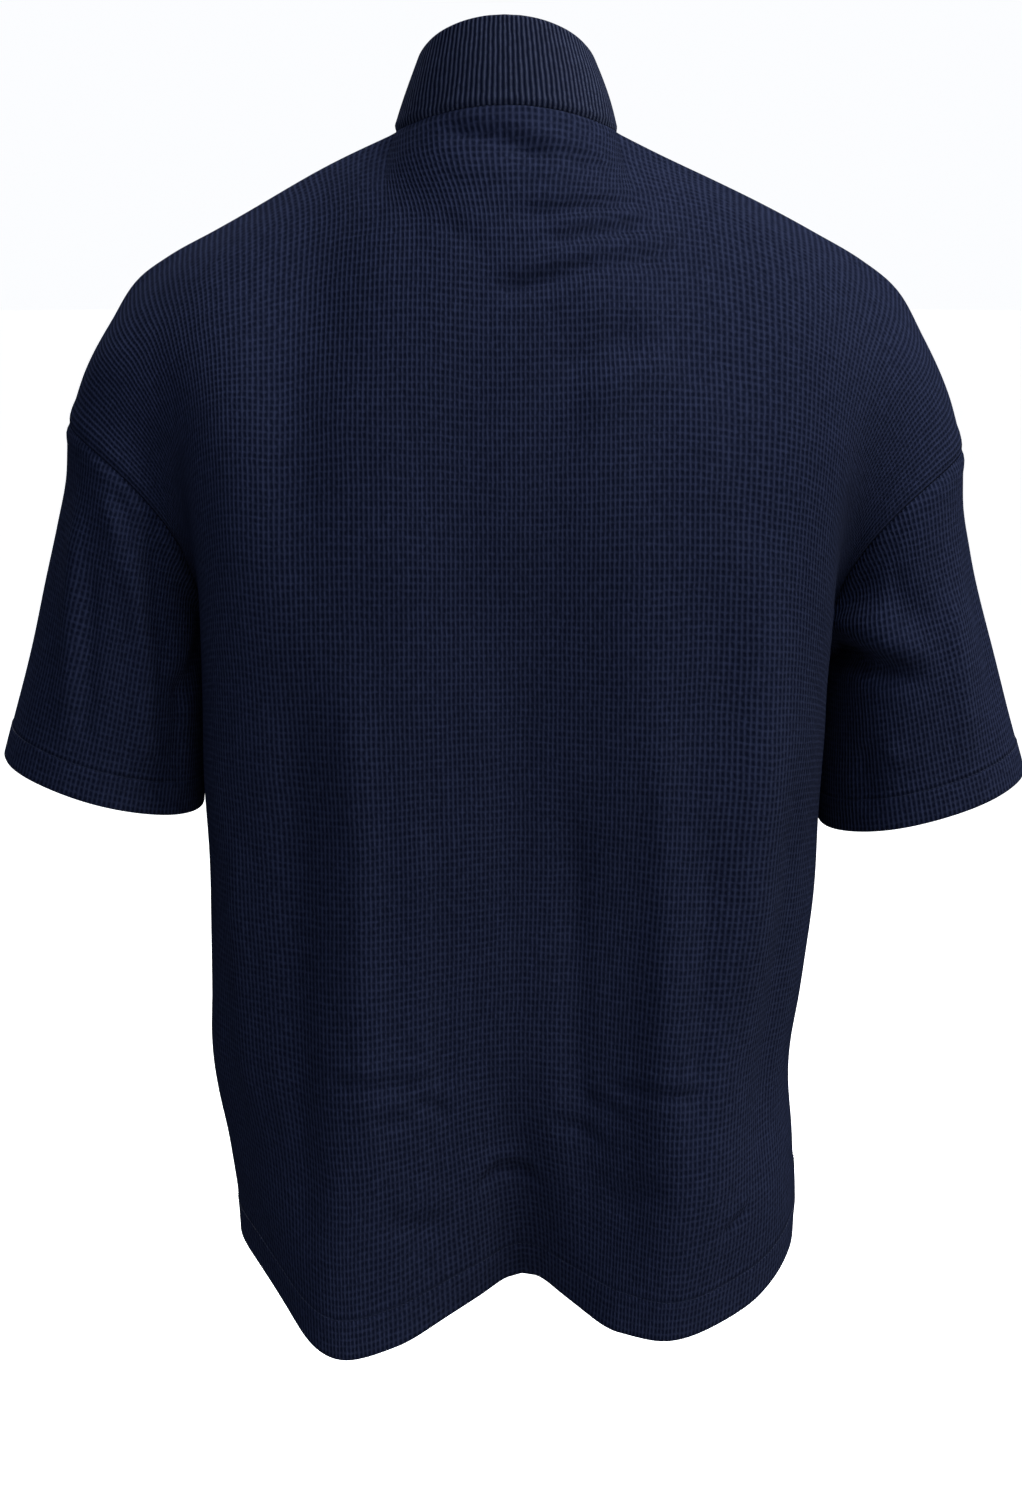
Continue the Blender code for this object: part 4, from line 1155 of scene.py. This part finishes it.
# ---------------------------------------------------------------- sub-assemblies
@dataclass
class Body:
    """The back and front panels, with the slit for the zip."""

    neck_cells: int = 26
    shoulder_cells: int = 70
    armhole_cells: int = 68
    row_step: float = 4.0
    fold_fade: Spot = (0.08, 0.06)      # shares from the side and from the top that folds need
    crease_fade: Spot = (0.04, 0.02)
    front_shift: float = 500
    calm_from: float = 0.74             # share of the length above which the zip's cloth lies flat
    calm_rise: float = 0.05
    calm_half: float = 0.06
    calm_fade: float = 0.08
    slit_thin: float = 0.45
    topstitch: float = 10.0
    foot_below: float = 3.0

    def shares_across(self) -> Points:
        """Shares of the half width at which the columns of a half panel lie."""
        beside_zip = 2 * CUT.zip_half_gap / CUT.half_width
        to_neck = np.concatenate([[0], np.linspace(beside_zip, WORN.neck_u, self.neck_cells)])
        to_side = np.linspace(WORN.neck_u, 1 - 5 / CUT.half_width, self.shoulder_cells + 1)[1:]
        close = 1 - np.array([3.0, 1.4, 0.0]) / CUT.half_width
        return np.concatenate([to_neck, to_side, close])

    def shares_up(self) -> Points:
        """Shares of the length at which the rows lie: finer at the hem's fold and stitching."""
        hem = np.concatenate([[0, 0.5, 1.5, 3.5, 7, 11, 15, 19], near(CUT.hem, [0.7, 1.5, 3.2])])
        underarm = WORN.underarm_v * CUT.length
        steps = int((underarm - hem[-1] - 3) / self.row_step)
        plain = np.linspace(hem[-1] + 3, underarm, steps)
        upper = np.linspace(underarm, CUT.length - 5, self.armhole_cells + 1)[1:]
        close = CUT.length - np.array([3.0, 1.4, 0.0])
        return np.concatenate([hem, plain, upper, close]) / CUT.length

    def faded(self, from_side: Points, from_top: Points, reach: Spot) -> Points:
        """How much of a fold is left near the side and the top, where seams hold the cloth."""
        return ease(from_side / reach[0]) * ease(from_top / reach[1])

    def panel(self, u: Points, v: Points, front: bool) -> Points:
        """Lays out one whole panel with its folds and creases.

        Args:
            u: Shares of the half width, from -1 at the right to 1 at the left.
            v: Shares of the length, from the hem.
            front: True for the front panel.

        Returns:
            Points indexed [row, column], as worn.
        """
        grid = WORN.half_panel(FRONT_SECTIONS if front else BACK_SECTIONS, np.abs(u), v, front)
        grid[:, u < 0, 0] *= -1
        for lobe in () if front else BACK_LOBES:
            near_hem = ease(1 - v / LOBE_REACH)[:, None] ** 3
            grid[..., 2] -= lobe.drop * bell((u - lobe.u) / lobe.width) * near_hem
        outwards = cloth_normals(grid) * (1 if front else -1)
        across, up = np.meshgrid(u * CUT.half_width, v * CUT.length)
        size = (CUT.half_width, CUT.length)
        from_side, from_top = (1 - np.abs(u))[None], (1 - v)[:, None]
        large = pressed(FRONT_FOLDS if front else BACK_FOLDS, across, up, size)
        large = large * self.faded(from_side, from_top, self.fold_fade)
        small = pressed(FRONT_CREASES if front else BACK_CREASES, across, up, size)
        small = small + rippled(across + self.front_shift * front, up)
        small = small * self.faded(from_side, from_top, self.crease_fade)
        if front:
            high = ease((v[:, None] - self.calm_from) / self.calm_rise)
            beside = ease((np.abs(u)[None] - self.calm_half) / self.calm_fade)
            small = small * (1 - high * (1 - beside))
        return WORN.hang(grid + outwards * (large + small)[..., None])

    def lay_out(self) -> tuple[Sheet, Sheet]:
        """Lays out the back and the front sheets."""
        half = self.shares_across()
        v = self.shares_up()
        slit_u = WORN.neck_u * 2 / np.pi * np.arcsin(CUT.zip_half_gap / WORN.neck_side)
        self.middle_column = len(half) - 1
        self.v = v
        self.slit_rows = [
            row for row in range(len(v) - 1) if v[row] > 1 - CUT.zip_below_neck / CUT.length]
        sheets = []
        for front in (False, True):
            centre = [-slit_u, slit_u] if front else [0.0]
            u = np.concatenate([-half[:0:-1], centre, half[1:]])
            grid = self.panel(u, v, front)
            from_side = np.broadcast_to((1 - np.abs(u))[None] * CUT.half_width, grid.shape[:2])
            from_hem = np.broadcast_to((v * CUT.length)[:, None], grid.shape[:2])
            from_top = CUT.length - from_hem
            sides = np.where(from_hem > WORN.underarm_v * CUT.length,
                             ARMHOLE_DIP.at(from_side), PLAIN_DIP.at(from_side))
            past_neck = (np.abs(u) > WORN.neck_u)[None]
            tops = np.where(past_neck, PLAIN_DIP.at(from_top), NECK_DIP.at(from_top))
            sunk = np.where(np.abs(sides) > np.abs(tops), sides, tops)
            thickness = folded_wall(from_hem, CUT.hem)
            slit = frozenset()
            if front:
                gap = WORN.hang(np.array([[[-CUT.zip_half_gap, 0, 0], [CUT.zip_half_gap, 0, 0]]], float))
                for side in (0, 1):
                    column = self.middle_column + side
                    pair = grid[:, self.middle_column, 0] + grid[:, self.middle_column + 1, 0]
                    grid[:, column, 0] = pair / 2 + (gap[0, side, 0] - gap[0, :, 0].mean())
                    thickness[self.slit_rows[0]:, column] *= self.slit_thin
                slit = frozenset((row, self.middle_column) for row in self.slit_rows)
            cut = np.stack(np.meshgrid(u * CUT.half_width, v * CUT.length), axis=2)
            name = "front_cloth" if front else "back_cloth"
            sheets.append(Sheet(name, grid, cut, thickness, sunk, turned=not front, slit=slit))
        self.back, self.front = sheets
        return self.back, self.front

    def build(self) -> None:
        """Makes the two panels with their hem and zip stitching."""
        knit = KnitFinish("navy waffle knit body", stitched_at=CUT.hem * MM).make()
        thread = ThreadFinish("navy thread body").make()
        reach = np.linspace(-CUT.half_width + 1.5, CUT.half_width - 1.5, 400)
        for sheet, node in ((self.back, "back_panel"), (self.front, "front_panel")):
            cloth = sheet.build(knit)
            sewn = sew(sheet, node.replace("panel", "hem_stitches"), reach,
                       np.full_like(reach, CUT.hem), thread)
            if sheet is self.front:
                sewn += self.sew_opening(thread)
            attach(cloth, "shirt")
            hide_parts(node)

    def sew_opening(self, thread: bpy.types.Material) -> list[bpy.types.Object]:
        """Sews round the zip opening: up each side of the slit, and across below it."""
        made = []
        bottom = CUT.length - CUT.zip_below_neck - self.foot_below
        up = np.linspace(bottom, CUT.length - 2, 80)
        for side, label in ((1, "left"), (-1, "right")):
            across = np.full_like(up, side * self.topstitch)
            made += sew(self.front, f"zip_stitches_{label}", across, up, thread)
        across = np.linspace(-self.topstitch, self.topstitch, 12)
        made += sew(self.front, "zip_stitches_foot", across, np.full_like(across, bottom), thread)
        return made


class Side(Enum):
    """The wearer's sides, as signs along X."""

    LEFT = 1
    RIGHT = -1


@dataclass
class Sleeve:
    """One short sleeve, hemmed at the cuff."""

    side: Side
    back: Sheet
    front: Sheet
    body: Body
    rows: int = 58
    side_shift: float = 900
    ripple_share: float = 0.7
    held_until: float = 0.05

    @property
    def label(self) -> str:
        """The side's name in lower case."""
        return self.side.name.lower()

    def lay_out(self) -> Sheet:
        """Lays out the sleeve from the armhole's own points, with its creases."""
        rings = np.array(SLEEVE_RINGS, float)
        t = np.concatenate([[0, 0.006, 0.016], np.linspace(0.03, 0.965, self.rows),
                            [0.98, 0.99, 0.9955, 1.0]])
        shape = curve(rings[:, 0], rings[:, 1:], t).T[:, :, None]
        outer_x, outer_z, inner_x, inner_z, back, front = shape
        first = int(np.argmin(np.abs(self.body.v - WORN.underarm_v)))
        share = (self.body.v[first:] - WORN.underarm_v) / (1 - WORN.underarm_v)
        angle = np.concatenate([np.pi * (1 - share), -np.pi * (1 - share[-2:0:-1])])[None]
        along, over = np.cos(angle), np.sin(angle)
        x = (outer_x + inner_x) / 2 + (outer_x - inner_x) / 2 * along
        z = (outer_z + inner_z) / 2 + (outer_z - inner_z) / 2 * along
        y = np.where(over > 0, back, front) * over
        grid = np.stack([self.side.value * x, y, z], axis=2)
        column = -1 if self.side is Side.LEFT else 0
        edges = [WORN.panel_edge(self.body.v[first:], bulge) * (self.side.value, 1, 1)
                 for bulge in (WORN.bulge_back, WORN.bulge_front)]
        seam = np.concatenate([edges[0], edges[1][-2:0:-1]])
        fade = (1 - t)[:, None, None] ** 3
        grid = grid + fade * (seam - grid[0])[None]
        round_share = (np.pi - np.concatenate([angle[0], [-np.pi]])) / (2 * np.pi)
        length = np.cumsum(np.linalg.norm(np.diff(grid[::-1], axis=0), axis=2), axis=0)[::-1]
        from_cuff = np.concatenate([length, np.zeros((1, grid.shape[1]))])
        across = round_share[None, :-1] * CUT.sleeve_round
        size = (CUT.sleeve_round, -CUT.sleeve_length)
        creases = LEFT_SLEEVE_CREASES if self.side is Side.LEFT else RIGHT_SLEEVE_CREASES
        height = pressed(creases, across, -t[:, None] * CUT.sleeve_length, size, CUT.sleeve_round)
        waves = rippled(across + self.side_shift * self.side.value, from_cuff)
        height = height + self.ripple_share * waves
        closed = np.concatenate([grid, grid[:, :1]], axis=1)
        outwards = cloth_normals(closed)[:, :-1] * self.side.value
        held = ease(t / self.held_until)[:, None]
        grid = WORN.hang(grid + outwards * (height * held)[..., None])
        seam_row = self.back.middle[first:, column], self.front.middle[first:, column]
        grid[0] = np.concatenate([seam_row[0], seam_row[1][-2:0:-1]])
        from_seam = from_cuff[:1] - from_cuff
        sunk = ARMHOLE_DIP.at(from_seam)
        thick = folded_wall(from_cuff, CUT.cuff)
        up = np.concatenate([from_cuff, from_cuff[:, :1]], axis=1)
        cut = np.stack([np.broadcast_to(round_share * CUT.sleeve_round, up.shape), up], axis=2)
        self.sheet = Sheet(f"sleeve_cloth_{self.label}", grid, cut, thick, sunk,
                           closed=True, turned=self.side is Side.RIGHT)
        return self.sheet

    def build(self) -> None:
        """Makes the sleeve and the stitching of its cuff."""
        finish = KnitFinish(f"navy waffle knit sleeve {self.label}", stitched_at=CUT.cuff * MM)
        cloth = self.sheet.build(finish.make())
        thread = ThreadFinish(f"navy thread sleeve {self.label}").make()
        across = np.linspace(0, CUT.sleeve_round - 0.01, 260)
        up = np.full_like(across, CUT.cuff)
        sewn = sew(self.sheet, f"cuff_stitches_{self.label}", across, up, thread)
        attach(cloth, "shirt")
        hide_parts(f"sleeve_{self.label}")


@dataclass
class Collar:
    """The stand collar, folded double along its top edge."""

    body: Body
    rows: int = 20
    shift: float = 300
    ripple_share: float = 0.5
    belly: float = 1.1
    held_until: float = 0.12
    end_fade: float = 18
    roll: float = 0.7                   # height of the soft roll over the neck seam at the back
    roll_at: float = 4.0
    roll_width: float = 2.4
    roll_reach: float = 0.3

    def lay_out(self) -> Sheet:
        """Lays out the collar on the neck edges of the two panels."""
        cells = self.body.neck_cells
        middle = self.body.middle_column
        back, front = self.body.back.middle, self.body.front.middle
        reach = slice(middle - cells, middle + cells + 1)
        base = np.concatenate([
            front[-1, middle + 1:middle + 1 + cells], back[-1, reach][::-1],
            front[-1, middle - cells + 1:middle + 1]])
        quarter = self.body.shares_across()[:cells + 1] / WORN.neck_u / 2
        half = np.concatenate([1 - quarter[:-1], quarter[::-1]])
        turn = np.concatenate([half, half[-2::-1]])
        side = np.where(np.arange(len(base)) <= 2 * cells, 1, -1)
        rim = WORN.collar_rim(turn)
        rim[:, 0] *= side
        flat_base = WORN.neck_seam(turn)
        flat_base[:, 0] *= side
        flat_base[[0, -1], 0] = CUT.zip_half_gap, -CUT.zip_half_gap
        rim[[0, -1], 0] = flat_base[[0, -1], 0]
        rise = np.concatenate([[0, 0.02, 0.05, 0.09], np.linspace(0.13, 0.93, self.rows),
                               [0.955, 0.975, 0.99, 1.0]])
        grid = flat_base[None] * (1 - rise)[:, None, None] + rim[None] * rise[:, None, None]
        around = steps_of(flat_base)
        share = 1 - 2 * around / around[-1]
        across, up = np.meshgrid(share * CUT.collar_half, rise * CUT.collar_height)
        size = (CUT.collar_half, CUT.collar_height)
        height = pressed(COLLAR_CREASES, across, up, size)
        height = height + self.ripple_share * rippled(across + self.shift, up)
        height = height + self.belly * np.sin(np.pi * rise)[:, None]
        from_ends = np.minimum(around, around[-1] - around)[None]
        height = height * ease(rise / self.held_until)[:, None] * ease(from_ends / self.end_fade)
        at_back = bell((np.minimum(turn, 1 - turn) / self.roll_reach)[None]) * (turn < 0.5)[None]
        roll = self.roll * bell((up - self.roll_at) / self.roll_width) * at_back
        grid = WORN.hang(grid + cloth_normals(grid) * (height + roll)[..., None])
        grid[0] = base
        from_rim = CUT.collar_height - up
        to_body = (CUT.collar_cloth - CUT.cloth) / 2
        sunk = NECK_DIP.at(up) * ease(from_rim / 10) + to_body * bell(up / 5)
        thick = CUT.collar_cloth * FreeEdge(1.6, 0.25).at(from_rim)
        thick = thick * FreeEdge(1.2, 0.4).at(np.broadcast_to(from_ends, thick.shape))
        cut = np.stack([across, up], axis=2)
        self.sheet = Sheet("collar_cloth", grid, cut, thick, sunk)
        return self.sheet

    def build(self) -> None:
        """Makes the collar and the stitching beside the zip."""
        # The collar's lighter rib colour is partly its rib knit's own look and partly painted light, making
        # up for the little light that reaches its upright back face; its pits darken with painted shade.
        finish = KnitFinish(
            "navy rib collar", Knit.RIB, rib_light=(0.0280, 0.0330, 0.0560),
            pit_painted_shade=(0.0025, 0.0038, 0.0110), rib_pitch=3.1 * MM)
        cloth = self.sheet.build(finish.make())
        thread = ThreadFinish("navy thread collar").make()
        up = np.linspace(1.5, CUT.collar_height - 1.5, 40)
        sewn = []
        for sign, label in ((1, "left"), (-1, "right")):
            across = np.full_like(up, sign * (CUT.collar_half - 5.0))
            sewn += sew(self.sheet, f"collar_stitches_{label}", across, up, thread)
        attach(cloth, "shirt")
        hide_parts("collar")


@dataclass
class Zip:
    """The closed zip: its teeth, and finishes for the tapes, slider, tab and stops."""

    body: Body
    collar: Collar
    pitch: float = 2.1
    tooth_reach: Spot = (-0.45, 2.1)
    tooth_height: float = 1.15
    tooth_depth: float = 1.5
    slider_below_rim: float = 11.5
    slider_half: float = 5.0
    slider_room: float = 0.6
    apart_above: float = 0.75
    behind_cloth: float = 0.8
    stops: Spot = (8.0, 6.5)

    def line(self) -> tuple[Points, Points]:
        """Points up the middle of the tapes from the foot to the rim, and the outward way at each."""
        middle = self.body.middle_column
        first = self.body.slit_rows[0]
        front = self.body.front.middle[first:-1, [middle, middle + 1]].mean(axis=1)
        stand = self.collar.sheet.middle[:, [0, -1]].mean(axis=1)
        cover = np.repeat([CUT.cloth, CUT.collar_cloth], [len(front), len(stand)])
        line = np.concatenate([front, stand])
        up = unit(np.gradient(line, axis=0))
        out = np.cross(up, (1, 0, 0))
        out = out * np.sign(-out[:, 1:2])
        return line - out * (cover / 2 + self.behind_cloth)[:, None], out

    def tooth(self) -> tuple[Points, list[list[int]]]:
        """One tooth on the left tape: X across, Y out and Z up, with softened corners."""
        start, end = self.tooth_reach
        half = self.tooth_height / 2
        outline = np.array([
            (start, 0.3 * half), (start + 0.35, half), (end - 0.3, half), (end, 0.4 * half),
            (end, -0.4 * half), (end - 0.3, -half), (start + 0.35, -half), (start, -0.3 * half)])
        centre = outline.mean(axis=0)
        rings = []
        for depth, scale in ((-0.5, 0.72), (-0.34, 1.0), (0.34, 1.0), (0.5, 0.72)):
            ring = centre + (outline - centre) * scale
            level = np.full(len(ring), depth * self.tooth_depth)
            rings.append(np.stack([ring[:, 0], level, ring[:, 1]], axis=1))
        faces = [[8 * r + k, 8 * r + (k + 1) % 8, 8 * r + 8 + (k + 1) % 8, 8 * r + 8 + k]
                 for r in range(3) for k in range(8)]
        return np.concatenate(rings), faces + [list(range(7, -1, -1)), list(range(24, 32))]

    def build(self) -> None:
        """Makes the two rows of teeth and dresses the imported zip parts."""
        line, out = self.line()
        distance = steps_of(line)
        top = distance[-1] - self.slider_below_rim
        finish = ToothFinish("navy zip teeth").make()
        shape, faces = self.tooth()
        for sign, label, shift in ((1, "left", 0.0), (-1, "right", 0.5)):
            marks = np.arange(self.stops[0] + shift * self.pitch, top + self.stops[1], self.pitch)
            points, polygons = [], []
            for mark in marks:
                if abs(mark - top) < self.slider_half + self.slider_room:
                    continue
                at, outwards = on_line(mark, distance, line), unit(on_line(mark, distance, out))
                upwards = np.cross((1, 0, 0), outwards)
                upwards = upwards * np.sign(upwards[2])
                apart = self.apart_above if mark > top else 0.0
                local = shape.copy()
                local[:, 0] = (local[:, 0] + apart) * sign
                placed = (at + local[:, :1] * (1, 0, 0) + local[:, 1:2] * outwards
                          + local[:, 2:] * upwards)
                start = sum(len(part) for part in points)
                points.append(placed)
                turned = faces if sign > 0 else [face[::-1] for face in faces]
                polygons += [[start + corner for corner in face] for face in turned]
            teeth = mesh_object(f"zip_teeth_{label}", np.concatenate(points), polygons, finish)
            teeth.data.shade_flat()
            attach(teeth, "shirt")
        self.dress()

    def dress(self) -> None:
        """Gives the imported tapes, slider, tab and stops their finishes."""
        tape = TapeFinish("navy twill tape").make()
        metal = MetalFinish("dark plated metal").make()
        for name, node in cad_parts.items():
            if name.startswith("zip_tape"):
                node.material_slots[0].material = tape
            elif name.startswith("zip_"):
                node.material_slots[0].material = metal


# ---------------------------------------------------------------- studio
class Softbox(NamedTuple):
    """A square studio light: where it stands, what it looks at, its size and its power."""

    name: str
    place: Place
    aim: Place
    size: float
    power: float
    colour: Colour


@dataclass
class Studio:
    """A pale floor, soft lights and the camera."""

    floor_z: float = -1.45
    floor_radius: float = 30.0
    floor_corners: int = 48
    sky: Colour = (0.97, 0.98, 1.0)
    sky_strength: float = 1.0
    camera_at: Place = (0.0, 1.60, -0.04)
    pitch_down: float = 13.0
    lens: float = 57.6
    lights: Sequence[Softbox] = (
        Softbox("key", (-0.95, 0.50, 1.75), (0.0, 0.0, -0.25), 0.9, 60.0, (1.0, 0.985, 0.95)),
        Softbox("side", (-2.4, 1.4, 0.5), (0.0, 0.0, -0.35), 1.1, 36.0, (1.0, 0.99, 0.97)),
        Softbox("back", (-0.6, 2.0, 2.2), (0.0, 0.0, -0.30), 1.3, 44.0, (0.62, 0.74, 1.0)),
        Softbox("low", (-0.5, 3.0, -0.5), (0.0, 0.0, -0.60), 1.8, 26.0, (0.90, 0.93, 1.0)),
        Softbox("left", (2.3, 1.7, 0.3), (0.0, 0.0, -0.40), 1.6, 20.0, (0.70, 0.80, 1.0)),
        Softbox("bounce", (0.1, 0.1, -1.40), (0.0, 0.0, 0.0), 2.0, 6.0, (0.95, 0.97, 1.0)),
        Softbox("front", (1.2, -2.4, 1.9), (0.0, 0.0, -0.35), 1.6, 140.0, (1.0, 0.99, 0.97)),
        Softbox("front fill", (-2.2, -1.6, 0.2), (0.0, 0.0, -0.40), 2.0, 45.0, (0.80, 0.88, 1.0)),
    )

    def build(self) -> None:
        """Makes the camera, the lights, the sky and the floor."""
        camera = bpy.data.objects.new("camera", bpy.data.cameras.new("camera"))
        camera.data.sensor_width = 36.0
        camera.data.lens = self.lens
        camera.data.clip_start = 0.05
        camera.location = self.camera_at
        camera.rotation_euler = (np.radians(90 - self.pitch_down), 0, np.pi)
        bpy.context.scene.collection.objects.link(camera)
        bpy.context.scene.camera = camera
        for box in self.lights:
            lamp = bpy.data.lights.new(box.name, "AREA")
            lamp.size = box.size
            lamp.energy = box.power
            lamp.color = box.colour
            made = bpy.data.objects.new(box.name, lamp)
            made.location = box.place
            made.visible_camera = False
            aim = Vector(box.aim) - Vector(box.place)
            made.rotation_euler = aim.to_track_quat("-Z", "Y").to_euler()
            bpy.context.scene.collection.objects.link(made)
        world = bpy.data.worlds.new("studio")
        world.use_nodes = True
        sky = world.node_tree.nodes["Background"]
        sky.inputs["Color"].default_value = (*self.sky, 1.0)
        sky.inputs["Strength"].default_value = self.sky_strength
        bpy.context.scene.world = world
        world.cycles_visibility.diffuse = False
        bpy.context.scene.view_settings.view_transform = "Standard"
        angle = np.linspace(0, 2 * np.pi, self.floor_corners + 1)[:-1]
        rim = np.stack([np.cos(angle), np.sin(angle), np.zeros_like(angle)], axis=1)
        rim = rim * self.floor_radius
        rim[:, 2] = self.floor_z
        paper = FloorFinish("pale paper", self.sky, self.sky_strength).make()
        floor = mesh_object("floor", rim / MM, [list(range(self.floor_corners))], paper)
        floor.visible_diffuse = False


def main() -> None:
    """Builds the shirt's sub-assemblies and the studio."""
    logging.basicConfig(level=logging.INFO, format="%(name)s: %(message)s")
    Studio().build()
    body = Body()
    back, front = body.lay_out()
    sleeves = [Sleeve(side, back, front, body) for side in Side]
    collar = Collar(body)
    share_normals([back, front, *(sleeve.lay_out() for sleeve in sleeves), collar.lay_out()])
    body.build()
    for sleeve in sleeves:
        sleeve.build()
    collar.build()
    Zip(body, collar).build()


if __name__ == "__main__":
    main()
